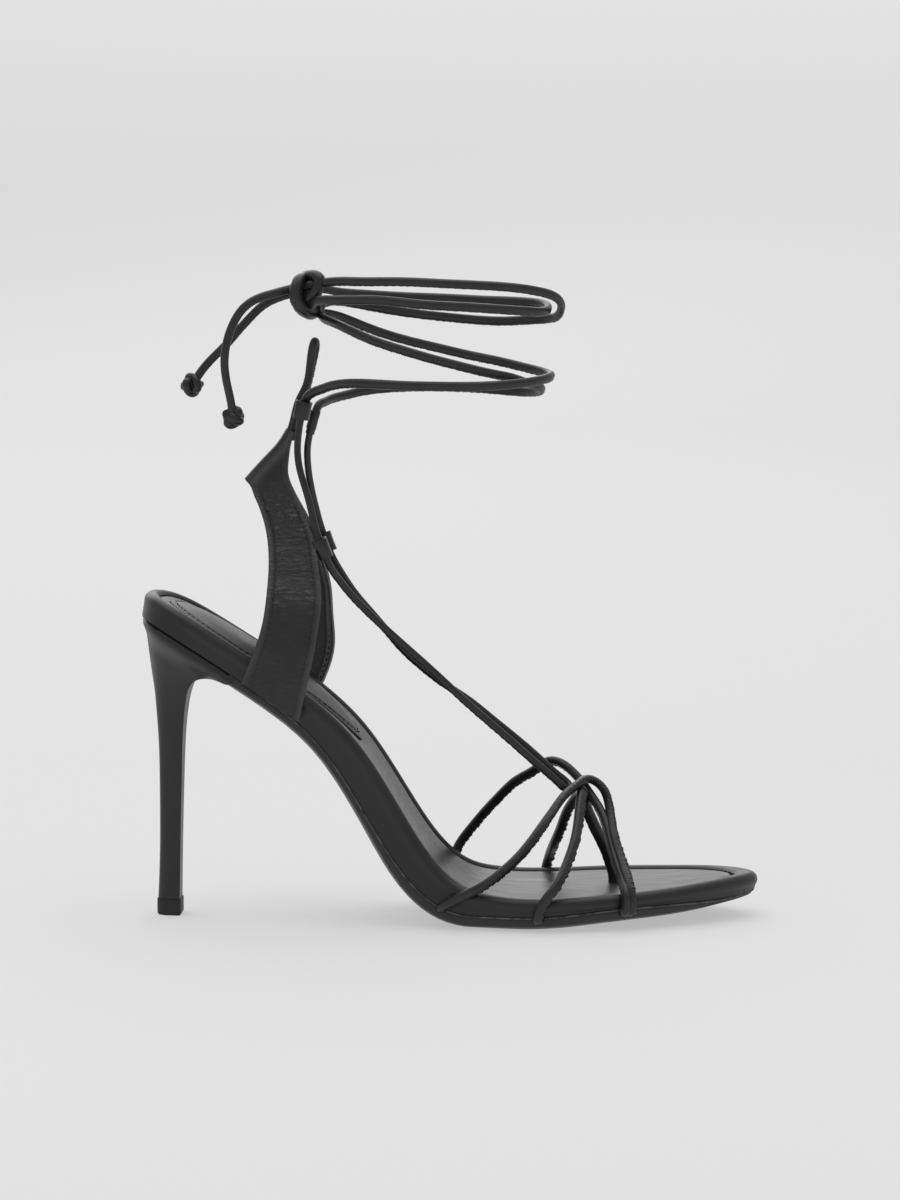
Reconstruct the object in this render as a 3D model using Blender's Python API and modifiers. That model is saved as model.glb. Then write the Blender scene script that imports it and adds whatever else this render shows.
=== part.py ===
"""Black lace-up stiletto sandal for a right foot, standing empty on its forefoot and heel tip.

Run with blender --background --python part.py, or from the text editor. Tables and sizes are in
millimetres. +X points to the toe, +Y to the inner (medial) side and +Z up, with the floor at z = 0.
"""

import math
from typing import NamedTuple

import bmesh
import bpy
import numpy as np
from mathutils import Vector

MM = 0.001
WELD = 0.01 * MM

# Driving sizes of the sole
SOLE_HALF_LENGTH = 103.7
OUTLINE_STEPS = 42
END_ANGLE = 0.055
SLOPE_REACH = 0.6
TOE_START_X = 72.0
TOE_REACH = 1.4
GAP = 0.3
HEEL_SEAT_FRONT_X = -67.0
OUTSOLE_PROUD = 0.35
OUTSOLE_EDGE_ROUND = 1.0
TREAD_INSET = 7.0
TREAD_DROP = 1.5
RIM_RADIUS = 2.8
FEATHER_INSET = 0.9
FOOTBED_DEPTH = 0.8
INSOLE_THICKNESS = 1.8
FOOTBED_INSET = 5.2

# Heel pad
PAD_BACK_X = -95.0
PAD_FRONT_X = -29.0
PAD_HALF_WIDTH = 20.0
PAD_HEIGHT = 1.8
PAD_STEPS = 16
PAD_END_ANGLE = 0.16
PAD_FULLNESS = 0.95
PAD_TAPER = 0.16

# Heel and its tip
HEEL_AXIS_Y = -2.5
TIP_HEIGHT = 5.6
TIP_OVERHANG = 0.35
TIP_CHAMFER = 0.4
HEEL_BACK_FULLNESS = 0.72
HEEL_SIDE_FULLNESS = 0.8
SEAT_STEPS = 11
FLANGE_FRONT = 2.4
FLANGE_BACK = 3.6
FLANGE_BACK_INSET = 2.4
FLANGE_INSET = 0.7

# Straps, ties and sling
STRAP_RADIUS = 1.55
POST_RADIUS = 2.1
TIE_RADIUS = 1.4
STRAP_STEP = 4.0
INSTEP_STEP = 4.5
TIE_STEP = 6.0
SLING_WALL = 1.7
SLING_ROW_STEPS = 3
SLING_COLUMNS = 5
KEEPER_LENGTH = 6.8
KEEPER_WALL = 0.8
KEEPER_PLAY = 0.45
KEEPER_SIDES = 16
KEEPER_SQUARENESS = 0.75
LOOP_RADIUS = 1.25
LOOP_STEP = 1.5


class Station(NamedTuple):
    """A cross-section of the sole: the rim crest's place and height, its two edges and its layers."""

    x: float
    crest: float
    lateral: float
    medial: float
    wall: float
    outsole: float


STATIONS = (
    Station(-103.7, 111.7, -2.5, -2.5, 8.6, 2.8),
    Station(-96.0, 109.3, -21.0, 16.0, 8.6, 2.8),
    Station(-90.0, 106.2, -25.0, 20.0, 8.6, 2.8),
    Station(-80.0, 100.1, -27.5, 22.5, 8.5, 2.8),
    Station(-66.0, 91.2, -28.4, 23.4, 8.6, 2.8),
    Station(-52.0, 82.2, -28.3, 23.4, 9.3, 2.5),
    Station(-40.0, 72.8, -27.9, 23.6, 10.0, 2.2),
    Station(-28.0, 59.8, -27.5, 24.1, 11.0, 2.0),
    Station(-16.0, 41.0, -28.0, 25.9, 11.4, 2.0),
    Station(-6.0, 25.4, -29.7, 28.7, 11.2, 2.8),
    Station(4.0, 15.7, -32.3, 32.0, 10.2, 3.3),
    Station(14.0, 12.3, -35.6, 35.6, 7.8, 3.2),
    Station(30.0, 11.2, -38.5, 38.5, 6.5, 3.0),
    Station(50.0, 12.0, -36.3, 38.4, 5.5, 3.2),
    Station(72.0, 13.1, -27.0, 34.0, 5.5, 2.9),
    Station(90.0, 14.4, -13.9, 25.4, 6.9, 1.6),
    Station(99.0, 14.8, -3.8, 17.6, 6.8, 1.4),
    Station(103.7, 14.8, 7.0, 7.0, 6.5, 1.4),
)


class EdgeRing(NamedTuple):
    """A ring of a sole layer: its inset from the edge, share of the layer's height and added depth."""

    inset: float
    share: float
    depth: float


MIDSOLE_RINGS = (
    EdgeRing(FEATHER_INSET, 1.0, 0.0),
    EdgeRing(0.5, 0.62, 0.0),
    EdgeRing(0.4, 0.0, 1.5 * RIM_RADIUS),
    EdgeRing(0.0, 0.0, RIM_RADIUS),
    EdgeRing(0.8, 0.0, 0.8),
    EdgeRing(RIM_RADIUS, 0.0, 0.0),
    EdgeRing(4.3, 0.0, 0.35),
    EdgeRing(FOOTBED_INSET - GAP, 0.0, 1.2),
    EdgeRing(FOOTBED_INSET - GAP, 0.0, FOOTBED_DEPTH + INSOLE_THICKNESS + GAP),
)
INSOLE_RINGS = (
    EdgeRing(FOOTBED_INSET, 0.0, FOOTBED_DEPTH + INSOLE_THICKNESS),
    EdgeRing(FOOTBED_INSET, 0.0, FOOTBED_DEPTH + 0.5),
    EdgeRing(FOOTBED_INSET + 0.8, 0.0, FOOTBED_DEPTH),
)
OUTSOLE_RINGS = (
    EdgeRing(FEATHER_INSET - OUTSOLE_PROUD, 0.0, 0.0),
    EdgeRing(FEATHER_INSET - OUTSOLE_PROUD, 0.62, 0.0),
    EdgeRing(FEATHER_INSET - OUTSOLE_PROUD + OUTSOLE_EDGE_ROUND, 1.0, 0.0),
    EdgeRing(FEATHER_INSET + TREAD_INSET, 1.0, TREAD_DROP),
)
PAD_RINGS = (
    EdgeRing(0.4, 0.0, 0.0),
    EdgeRing(0.0, 0.35, 0.0),
    EdgeRing(0.5, 0.7, 0.0),
    EdgeRing(2.6, 0.9, 0.0),
    EdgeRing(7.0, 1.0, 0.0),
)


class HeelRing(NamedTuple):
    """A D-shaped ring of the heel: its rounded back, its flat breast and half its width."""

    back_x: float
    back_z: float
    breast_x: float
    breast_z: float
    half_width: float


HEEL_RINGS = (
    HeelRing(-103.0, 94.0, -79.0, 82.8, 19.0),
    HeelRing(-102.4, 89.0, -84.6, 82.4, 15.2),
    HeelRing(-101.8, 84.0, -87.6, 80.0, 12.0),
    HeelRing(-101.0, 78.0, -89.2, 76.0, 9.4),
    HeelRing(-100.4, 71.0, -90.2, 70.0, 7.2),
    HeelRing(-99.8, 62.0, -90.9, 61.5, 5.8),
    HeelRing(-99.5, 54.0, -91.2, 54.0, 5.2),
    HeelRing(-99.4, 44.0, -91.5, 44.0, 4.7),
    HeelRing(-99.4, 28.0, -91.9, 28.0, 4.5),
    HeelRing(-99.8, 12.0, -92.2, 12.0, 4.6),
    HeelRing(-100.1, TIP_HEIGHT + GAP, -92.3, TIP_HEIGHT + GAP, 4.8),
)


class SlingRow(NamedTuple):
    """A level of a sling wing: its edges, and the inner face's distance from the heel's mid-plane."""

    rear_x: float
    rear_z: float
    rear_gap: float
    front_x: float
    front_z: float
    front_gap: float


SLING_ROWS = (
    SlingRow(-68.2, 82.5, 26.4, -50.0, 70.1, 26.2),
    SlingRow(-66.3, 87.0, 26.4, -48.6, 76.5, 26.5),
    SlingRow(-64.0, 93.0, 26.3, -46.9, 84.0, 26.7),
    SlingRow(-62.2, 98.2, 25.6, -45.0, 92.0, 26.4),
    SlingRow(-60.8, 104.5, 23.6, -43.5, 100.5, 25.0),
    SlingRow(-60.0, 112.0, 20.2, -42.5, 109.5, 22.4),
    SlingRow(-59.7, 121.0, 15.4, -43.6, 119.5, 18.0),
    SlingRow(-60.8, 131.0, 9.6, -46.0, 131.0, 12.2),
    SlingRow(-63.7, 140.0, 4.8, -50.2, 141.0, 8.0),
    SlingRow(-67.6, 147.6, 0.8, -54.0, 149.8, 5.2),
    SlingRow(-62.9, 153.0, 0.8, -54.5, 155.0, 3.8),
    SlingRow(-58.6, 157.6, 0.8, -53.9, 160.3, 2.6),
    SlingRow(-55.6, 161.2, 0.8, -53.0, 164.2, 1.6),
)
# How far each wing's front edge lies from the table's: how much, round which height, over which span
LATERAL_FRONT_SHIFTS = ((-1.0, 129.5, 5.0),)
MEDIAL_FRONT_SHIFTS = ((3.9, 86.0, 14.0), (-2.0, 138.0, 22.0))
FOLD_ROW = 9
FOLD_DEPTH = 0.6

# Routes of the straps, feet first
OUTER_STRAP = (
    (-0.7, -33.4, 8.2), (2.5, -34.6, 10.2), (6.0, -35.2, 12.0), (11.8, -35.2, 15.0), (18.4, -33.0, 19.4),
    (25.0, -29.0, 25.2), (31.4, -22.0, 32.9), (36.3, -15.0, 39.2), (39.5, -10.5, 43.0),
    (43.4, -5.0, 45.8), (47.7, 0.0, 47.1), (51.8, 0.5, 44.3), (53.8, -1.5, 40.2), (54.8, -6.0, 35.6),
    (55.8, -12.0, 30.7), (57.6, -18.0, 25.4), (59.8, -25.0, 20.3), (61.6, -31.2, 15.9),
    (62.6, -34.4, 11.8), (62.6, -34.7, 8.6),
)
INNER_STRAP = (
    (-2.5, 32.9, 9.4), (-1.2, 34.0, 13.6), (0.9, 34.6, 18.8), (5.1, 33.4, 24.9), (10.5, 30.2, 31.7),
    (15.9, 26.0, 37.9), (21.2, 21.5, 43.4), (28.4, 15.0, 48.5), (34.4, 9.5, 52.2), (39.0, 6.5, 50.9),
    (42.4, 4.5, 48.2), (45.0, 2.8, 45.6), (47.2, 0.6, 42.8), (50.5, -3.0, 38.4), (53.2, -8.0, 33.5),
    (55.4, -15.0, 26.9), (57.8, -23.0, 20.4), (60.0, -30.0, 15.8), (61.0, -35.2, 11.6),
    (61.0, -35.4, 8.4),
)
CROSS_STRAP = (
    (31.4, -40.5, 6.9), (33.1, -40.7, 10.4), (37.0, -38.0, 15.6), (40.2, -32.0, 21.4),
    (42.7, -25.0, 28.0), (44.1, -17.0, 35.4), (44.6, -9.5, 41.2), (45.0, -3.0, 43.8), (44.0, 3.5, 42.2),
    (41.2, 10.5, 37.7), (39.1, 15.5, 33.6), (36.8, 23.0, 26.9), (34.1, 31.5, 20.0), (32.0, 39.3, 13.6),
    (31.0, 40.6, 9.6), (30.6, 40.6, 7.0),
)
TOE_POST = (
    (56.0, 8.6, 11.9), (55.9, 8.5, 12.9), (55.1, 8.1, 16.0), (52.9, 6.8, 22.4), (50.1, 5.0, 28.4),
    (47.8, 3.4, 33.6), (46.2, 1.8, 38.0), (45.6, 0.4, 42.4),
)

# One tie runs up both sides of the instep from its turn under the crossing
TIE_LATERAL_RUN = (
    (40.3, -1.0, 43.7), (36.2, -2.4, 47.0), (29.7, -3.4, 52.8), (21.6, -4.0, 60.0), (13.7, -4.5, 66.9),
    (5.2, -5.0, 74.4), (-2.9, -5.5, 82.0), (-10.0, -6.4, 88.6), (-16.4, -7.2, 94.4),
    (-23.0, -8.3, 100.5), (-28.2, -9.2, 105.6), (-33.0, -10.4, 110.8), (-37.0, -12.8, 116.2),
    (-39.6, -15.0, 120.3), (-41.0, -16.0, 123.4), (-42.4, -16.6, 127.2), (-43.7, -16.7, 130.8),
    (-45.2, -15.0, 135.2), (-46.6, -12.8, 140.4), (-48.5, -10.6, 146.6), (-50.5, -9.2, 153.0),
    (-51.4, -8.5, 159.6), (-51.0, -8.2, 166.0), (-50.3, -8.1, 170.2), (-49.4, -8.2, 174.6),
    (-48.5, -8.7, 177.2),
)
TIE_MEDIAL_RUN = (
    (40.7, 1.8, 44.5), (37.0, 2.8, 47.9), (30.5, 2.0, 53.8), (22.4, 1.5, 60.9), (14.2, 1.2, 67.6),
    (5.3, 1.2, 74.6), (-3.3, 1.4, 80.2), (-10.0, 1.6, 85.4), (-16.2, 1.8, 91.0), (-22.4, 2.2, 98.2),
    (-25.6, 2.8, 101.9), (-29.2, 3.8, 105.8), (-32.8, 5.0, 109.9), (-36.5, 7.4, 114.8),
    (-39.4, 9.8, 119.0), (-41.6, 11.3, 122.9), (-43.2, 11.8, 127.0), (-44.6, 11.9, 130.8),
    (-45.6, 10.8, 134.4), (-46.4, 9.0, 138.2), (-47.4, 7.0, 143.0), (-48.5, 5.0, 149.8),
    (-49.0, 3.8, 155.6), (-48.9, 3.2, 160.4), (-48.2, 3.1, 164.6), (-47.2, 3.1, 168.2),
    (-46.1, 3.2, 172.0), (-45.4, 3.8, 174.0),
)
# Free cords: each tie's two wraps, its tail below the knot, and the knots
TIE_LATERAL_WRAP = (
    (-43.3, -13.6, 180.7), (-39.7, -17.0, 182.1), (-35.9, -20.4, 183.0), (-25.5, -26.5, 183.5),
    (-15.4, -28.5, 183.1), (-2.0, -28.5, 182.8), (11.2, -25.5, 182.7), (21.1, -20.5, 183.1),
    (27.6, -15.0, 183.6), (32.4, -8.5, 184.3), (34.2, -2.5, 185.0), (32.3, 3.0, 185.6),
    (28.4, 8.0, 186.4), (23.1, 12.5, 187.4), (16.1, 16.5, 188.8), (5.7, 20.0, 190.7), (-4.7, 21.5, 193.0),
    (-18.4, 20.5, 196.4), (-31.6, 15.0, 201.1), (-39.5, 7.2, 205.3), (-42.8, 2.0, 208.0),
    (-44.0, -3.0, 209.8), (-43.4, -7.8, 210.9), (-41.0, -12.0, 211.6), (-36.3, -16.0, 211.9),
    (-22.4, -23.0, 211.2), (-8.8, -25.5, 210.0), (4.5, -24.5, 209.2), (17.7, -20.5, 208.2),
    (27.0, -14.5, 207.3), (32.0, -8.0, 207.0), (33.2, -2.5, 207.8), (31.8, 3.0, 208.8),
    (29.0, 7.5, 209.2), (23.1, 12.0, 209.5), (12.7, 16.0, 209.7), (-1.2, 19.5, 210.2),
    (-18.3, 19.0, 210.9), (-31.7, 14.5, 211.9), (-39.7, 7.5, 213.0), (-44.4, 2.0, 214.0),
)
TIE_MEDIAL_WRAP = (
    (-41.4, 11.5, 176.1), (-38.0, 15.0, 176.9), (-32.0, 18.5, 178.2), (-18.5, 22.5, 179.5),
    (-4.8, 23.0, 179.7), (12.6, 18.5, 179.2), (23.1, 12.5, 178.7), (28.8, 6.5, 179.1), (30.9, 1.0, 180.2),
    (29.9, -3.5, 181.5), (26.3, -8.5, 182.9), (22.4, -12.5, 184.5), (14.3, -18.0, 186.6),
    (4.4, -22.0, 189.2), (-5.6, -23.5, 191.9), (-15.7, -22.5, 194.8), (-26.0, -19.0, 197.6),
    (-36.5, -13.0, 200.5), (-43.0, -7.0, 202.0), (-47.0, -1.5, 203.0), (-47.6, 4.0, 204.6),
    (-45.0, 10.4, 206.6), (-36.6, 15.6, 207.2), (-25.0, 18.4, 206.4), (-11.5, 20.5, 204.7),
    (2.2, 20.5, 203.3), (16.1, 17.0, 202.6), (26.6, 11.0, 203.3), (33.6, 5.5, 204.1), (37.0, -0.5, 206.0),
    (37.6, -5.0, 209.4), (35.6, -9.0, 212.0), (30.4, -13.5, 213.9), (24.3, -17.5, 215.1),
    (11.1, -22.5, 216.3), (-2.2, -25.0, 217.0), (-15.6, -24.0, 217.5), (-29.4, -18.5, 217.3),
    (-38.3, -12.0, 217.1), (-44.2, -7.6, 216.2),
)
TIE_LATERAL_TAIL = (
    (-55.7, 0.1, 212.0), (-58.4, 1.0, 211.1), (-61.4, 1.7, 209.8), (-65.0, 2.4, 207.4), (-68.4, 3.2, 204.1),
    (-72.0, 3.8, 200.2), (-77.1, 4.4, 194.4), (-82.6, 4.5, 188.9), (-86.0, 4.2, 184.6),
)
TIE_MEDIAL_TAIL = (
    (-56.0, -6.0, 213.7), (-58.6, -7.2, 213.0), (-61.2, -8.2, 212.3), (-64.2, -9.0, 211.3),
    (-67.4, -9.6, 209.6), (-70.2, -10.0, 207.0), (-72.6, -10.4, 203.2), (-75.2, -11.0, 195.4),
    (-75.8, -11.0, 189.4), (-75.0, -11.0, 182.6), (-73.6, -11.0, 175.8),
)


class Knot(NamedTuple):
    """A plain solid of a knot's outer size: its name, middle and half sizes."""

    name: str
    middle: tuple
    half_sizes: tuple


KNOTS = (
    Knot("tie_knot", (-50.6, -2.5, 212.6), (5.0, 6.2, 7.0)),
    Knot("lateral_end_knot", (-88.4, 4.0, 181.0), (4.0, 3.8, 3.8)),
    Knot("medial_end_knot", (-72.9, -11.0, 171.0), (3.9, 3.9, 4.2)),
)
KNOT_SEGMENTS = 14
KNOT_RINGS = 8

BACK_LOOP = (
    (-53.8, -3.6, 166.6), (-53.0, -3.9, 169.6), (-52.2, -4.0, 172.8), (-51.0, -4.0, 176.8),
    (-49.1, -4.0, 180.6), (-47.9, -4.0, 184.7), (-47.4, -4.0, 188.7), (-46.9, -4.0, 192.8),
    (-46.4, -3.8, 195.4), (-45.9, -2.5, 196.9), (-45.6, -1.2, 195.4), (-45.8, -1.0, 192.8),
    (-46.6, -1.0, 188.5), (-47.5, -1.0, 184.5), (-48.8, -1.0, 180.2), (-50.4, -1.0, 176.4),
)


class Keeper(NamedTuple):
    """A leather sleeve on the sling's front edge: its name, the run it holds and its middle's height."""

    name: str
    route: tuple
    middle_z: float


KEEPERS = (
    Keeper("lateral_lower_keeper", TIE_LATERAL_RUN, 127.3),
    Keeper("lateral_upper_keeper", TIE_LATERAL_RUN, 172.3),
    Keeper("medial_lower_keeper", TIE_MEDIAL_RUN, 127.0),
    Keeper("medial_upper_keeper", TIE_MEDIAL_RUN, 168.6),
)


def smooth_columns(knots, values, at):
    """Values at the given places on a smooth curve through rows of values at the knots."""
    knots = np.asarray(knots, float)
    values = np.asarray(values, float)
    slopes = np.gradient(values, knots, axis=0)
    at = np.asarray(at, float)
    low = np.clip(np.searchsorted(knots, at, side="right") - 1, 0, len(knots) - 2)
    span = (knots[low + 1] - knots[low])[:, None]
    t = ((at - knots[low])[:, None]) / span
    start, end = values[low], values[low + 1]
    rise = 3 * t**2 - 2 * t**3
    lean_in = (t - 2 * t**2 + t**3) * span * slopes[low]
    lean_out = (t**3 - t**2) * span * slopes[low + 1]
    return start + (end - start) * rise + lean_in + lean_out


def chord_knots(rows):
    """Distances along a line of points."""
    steps = np.linalg.norm(np.diff(np.asarray(rows, float), axis=0), axis=1)
    return np.concatenate([[0.0], np.cumsum(steps)])


def smooth_route(rows, step):
    """Points about a step apart on a smooth curve through a route's points."""
    knots = chord_knots(rows)
    count = max(4, round(knots[-1] / step))
    return smooth_columns(knots, rows, np.linspace(0.0, knots[-1], count + 1))


def station_angle(x):
    """Place along the sole as an angle, so that rows spaced by it round off both ends."""
    return np.arccos(np.clip(-np.asarray(x, float) / SOLE_HALF_LENGTH, -1.0, 1.0))


STATION_ANGLES = station_angle([row.x for row in STATIONS])
STATION_ROWS = np.array(STATIONS)


def stations_at(x):
    """The station columns at the given places along the sole."""
    return smooth_columns(STATION_ANGLES, STATION_ROWS, station_angle(x))


def column(rows, name):
    """One named column of station rows."""
    return rows[:, Station._fields.index(name)]


def crest_slope(x):
    """Slope of the rim's crest line."""
    inside = np.clip(x, SLOPE_REACH - SOLE_HALF_LENGTH, SOLE_HALF_LENGTH - SLOPE_REACH)
    ahead = stations_at(inside + SLOPE_REACH)
    behind = stations_at(inside - SLOPE_REACH)
    rise = column(ahead, "crest") - column(behind, "crest")
    return rise / (column(ahead, "x") - column(behind, "x"))


def on_sole(plan, depth):
    """Points of the sole from places in plan and their depth below the crest line, square to it."""
    x, y = plan[:, 0], plan[:, 1]
    crest = column(stations_at(x), "crest")
    slope = crest_slope(x)
    length = np.sqrt(1 + slope**2)
    over_toe = np.clip((x - TOE_START_X) / (SOLE_HALF_LENGTH - TOE_START_X), 0.0, 1.0)
    along = x + TOE_REACH * over_toe**2 + depth * slope / length
    return np.stack([along, y, crest - depth / length], axis=1)


def sole_outline(first_x, inset):
    """Plan of the sole from first_x to the toe and back, moved inwards, lateral edge first."""
    start = float(station_angle([first_x])[0])
    angles = np.linspace(END_ANGLE, math.pi - END_ANGLE, OUTLINE_STEPS + 1)
    if start <= END_ANGLE:
        return inset_plan(edges_at(angles), inset)
    angles = np.concatenate([[start], angles[angles > start + END_ANGLE]])
    plan = inset_plan(edges_at(angles), inset)
    plan[[0, -1], 0] = first_x
    return plan


def edges_at(angles):
    """Both edges of the sole in plan at the given station angles, lateral edge first."""
    rows = smooth_columns(STATION_ANGLES, STATION_ROWS, angles)
    x = -SOLE_HALF_LENGTH * np.cos(angles)
    lateral = np.stack([x, column(rows, "lateral")], axis=1)
    medial = np.stack([x, column(rows, "medial")], axis=1)
    return np.concatenate([lateral, medial[::-1]])


def inset_plan(plan, inset):
    """A closed plan, counter-clockwise from above, moved inwards by a distance."""
    along = np.roll(plan, -1, axis=0) - np.roll(plan, 1, axis=0)
    along /= np.linalg.norm(along, axis=1)[:, None]
    outward = np.stack([along[:, 1], -along[:, 0]], axis=1)
    return plan - outward * inset


def loft(name, rings, material, close=True):
    """A closed solid through rings of equal count, its end rings capped by strips from side to side."""
    mesh = bpy.data.meshes.new(name)
    bm = bmesh.new()
    loops = [[bm.verts.new(Vector(point) * MM) for point in ring] for ring in rings]
    count = len(loops[0])
    for lower, upper in zip(loops, loops[1:]):
        for i in range(count):
            j = (i + 1) % count
            bm.faces.new((lower[i], lower[j], upper[j], upper[i]))
    if close:
        for ring in (loops[0], loops[-1]):
            for i in range(count // 2 - 1):
                bm.faces.new((ring[i], ring[i + 1], ring[count - 2 - i], ring[count - 1 - i]))
    bmesh.ops.recalc_face_normals(bm, faces=bm.faces)
    bm.to_mesh(mesh)
    bm.free()
    return add_object(name, mesh, material)


def add_object(name, data, material):
    """A node of the sandal, linked under the root with its own material."""
    node = bpy.data.objects.new(name, data)
    data.materials.append(material)
    bpy.data.collections["stiletto_sandal"].objects.link(node)
    node.parent = bpy.data.objects["sandal_root"]
    return node


def leather(name, colour, roughness):
    """A Principled material."""
    made = bpy.data.materials.new(name)
    made.use_nodes = True
    shader = made.node_tree.nodes["Principled BSDF"]
    shader.inputs["Base Color"].default_value = (*colour, 1.0)
    shader.inputs["Roughness"].default_value = roughness
    shader.inputs["Metallic"].default_value = 0.0
    return made


def make_midsole():
    """The covered platform: wall from the outsole to a rolled rim, and a recess for the insole."""
    rings = []
    for ring in MIDSOLE_RINGS:
        plan = sole_outline(-SOLE_HALF_LENGTH, ring.inset)
        wall = column(stations_at(plan[:, 0]), "wall")
        rings.append(on_sole(plan, ring.share * wall + ring.depth))
    return loft("covered_midsole", rings, leather("midsole_leather", (0.012, 0.012, 0.013), 0.42))


def make_insole():
    """The footbed in the midsole's recess."""
    rings = []
    for ring in INSOLE_RINGS:
        plan = sole_outline(-SOLE_HALF_LENGTH, ring.inset)
        rings.append(on_sole(plan, np.full(len(plan), ring.depth)))
    return loft("insole", rings, leather("footbed_leather", (0.014, 0.014, 0.015), 0.25))


def make_outsole():
    """The thin outsole from the heel to the toe, flat on the floor under the ball."""
    rings = []
    for ring in OUTSOLE_RINGS:
        plan = sole_outline(HEEL_SEAT_FRONT_X + GAP, ring.inset)
        rows = stations_at(plan[:, 0])
        below = column(rows, "wall") + GAP
        points = on_sole(plan, below + ring.share * column(rows, "outsole") + ring.depth)
        points[:, 2] = np.maximum(points[:, 2], 0.0)
        rings.append(points)
    return loft("outsole", rings, leather("outsole_leather", (0.01, 0.01, 0.01), 0.5))


def make_heel_pad():
    """The padded heel sock on the footbed."""
    angles = np.linspace(PAD_END_ANGLE, math.pi - PAD_END_ANGLE, PAD_STEPS + 1)
    middle = (PAD_FRONT_X + PAD_BACK_X) / 2
    half = (PAD_FRONT_X - PAD_BACK_X) / 2
    x = middle - half * np.cos(angles)
    width = PAD_HALF_WIDTH * np.sin(angles) ** PAD_FULLNESS * (1 - PAD_TAPER * (x - middle) / half)
    lateral = np.stack([x, HEEL_AXIS_Y - width], axis=1)
    medial = np.stack([x, HEEL_AXIS_Y + width], axis=1)
    plan = np.concatenate([lateral, medial[::-1]])
    seat = FOOTBED_DEPTH - GAP
    rings = []
    for ring in PAD_RINGS:
        depth = seat - ring.share * PAD_HEIGHT
        rings.append(on_sole(inset_plan(plan, ring.inset), np.full(len(plan), depth)))
    return loft("heel_pad", rings, leather("heel_pad_leather", (0.015, 0.015, 0.016), 0.35))


def d_ring(ring, count, overhang=0.0):
    """Points of a D-shaped heel ring, from the lateral breast edge round the back to the medial one."""
    turn = np.linspace(0.0, math.pi, count)
    back = np.array([ring.back_x - overhang, ring.back_z])
    breast = np.array([ring.breast_x + overhang, ring.breast_z])
    along = np.sin(turn) ** HEEL_BACK_FULLNESS
    line = breast + (back - breast) * along[:, None]
    side = np.sign(np.cos(turn)) * np.abs(np.cos(turn)) ** HEEL_SIDE_FULLNESS
    width = (ring.half_width + overhang) * side
    return np.stack([line[:, 0], HEEL_AXIS_Y - width, line[:, 1]], axis=1)


def make_heel():
    """The covered heel: its seat follows the midsole's underside and runs down into the thin shaft."""
    angles = np.linspace(float(station_angle([HEEL_SEAT_FRONT_X])[0]), END_ANGLE, SEAT_STEPS)
    plan = edges_at(angles)
    share_back = (HEEL_SEAT_FRONT_X - plan[:, 0]) / (HEEL_SEAT_FRONT_X + SOLE_HALF_LENGTH)
    wall = column(stations_at(plan[:, 0]), "wall")
    flange = FLANGE_FRONT + (FLANGE_BACK - FLANGE_FRONT) * share_back**2
    inner = inset_plan(plan, -FLANGE_INSET)
    lower = inset_plan(plan, -FEATHER_INSET - FLANGE_BACK_INSET * share_back[:, None] ** 4)
    for ring_plan in (inner, lower):
        ring_plan[[0, -1], 0] = HEEL_SEAT_FRONT_X
    rings = [on_sole(inner, wall + GAP), on_sole(lower, wall + GAP + flange)]
    rings += [d_ring(ring, len(plan)) for ring in HEEL_RINGS]
    return loft("heel", rings, leather("heel_leather", (0.012, 0.012, 0.013), 0.4))


def make_heel_tip():
    """The top lift on the heel's end, flat on the floor."""
    rings = []
    for z in (TIP_HEIGHT, TIP_CHAMFER, 0.0):
        level = HEEL_RINGS[-1]._replace(back_z=z, breast_z=z)
        chamfer = max(0.0, TIP_CHAMFER - z)
        rings.append(d_ring(level, 2 * SEAT_STEPS, TIP_OVERHANG - chamfer))
    return loft("heel_tip", rings, leather("heel_tip_rubber", (0.01, 0.01, 0.01), 0.55))


def tube(name, points, radius, material):
    """A round cord along points, with filled caps."""
    data = bpy.data.curves.new(name, "CURVE")
    data.dimensions = "3D"
    data.bevel_depth = radius * MM
    data.bevel_resolution = 2
    data.use_fill_caps = True
    spline = data.splines.new("POLY")
    spline.points.add(len(points) - 1)
    for place, point in zip(spline.points, points):
        place.co = (*(Vector(point) * MM), 1.0)
    return add_object(name, data, material)


def as_mesh(node):
    """Turns a curve node into a welded mesh node of the same name."""
    graph = bpy.context.evaluated_depsgraph_get()
    mesh = bpy.data.meshes.new_from_object(node.evaluated_get(graph))
    name, material = node.name, node.data.materials[0]
    bpy.data.objects.remove(node)
    mesh.materials.clear()
    bm = bmesh.new()
    bm.from_mesh(mesh)
    bmesh.ops.remove_doubles(bm, verts=bm.verts, dist=WELD)
    bmesh.ops.recalc_face_normals(bm, faces=bm.faces)
    bm.to_mesh(mesh)
    bm.free()
    return add_object(name, mesh, material)


def fuse(base, other):
    """Joins another mesh node to the base with an exact union, keeping the other as a hidden helper."""
    bpy.data.collections["stiletto_sandal"].objects.unlink(other)
    bpy.data.collections["helpers"].objects.link(other)
    other.hide_render = True
    other.display_type = "WIRE"
    union = base.modifiers.new("join_" + other.name, "BOOLEAN")
    union.operation = "UNION"
    union.solver = "EXACT"
    union.object = other


def make_vamp_straps():
    """The upper: two long straps, a cross strap and the toe post, joined where they cross."""
    material = leather("strap_leather", (0.012, 0.012, 0.012), 0.38)
    base = as_mesh(tube("vamp_straps", smooth_route(OUTER_STRAP, STRAP_STEP), STRAP_RADIUS, material))
    for name, route, radius in (
        ("inner_strap", INNER_STRAP, STRAP_RADIUS),
        ("cross_strap", CROSS_STRAP, STRAP_RADIUS),
        ("toe_post", TOE_POST, POST_RADIUS),
    ):
        fuse(base, as_mesh(tube(name, smooth_route(route, STRAP_STEP), radius, material)))
    return base


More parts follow.
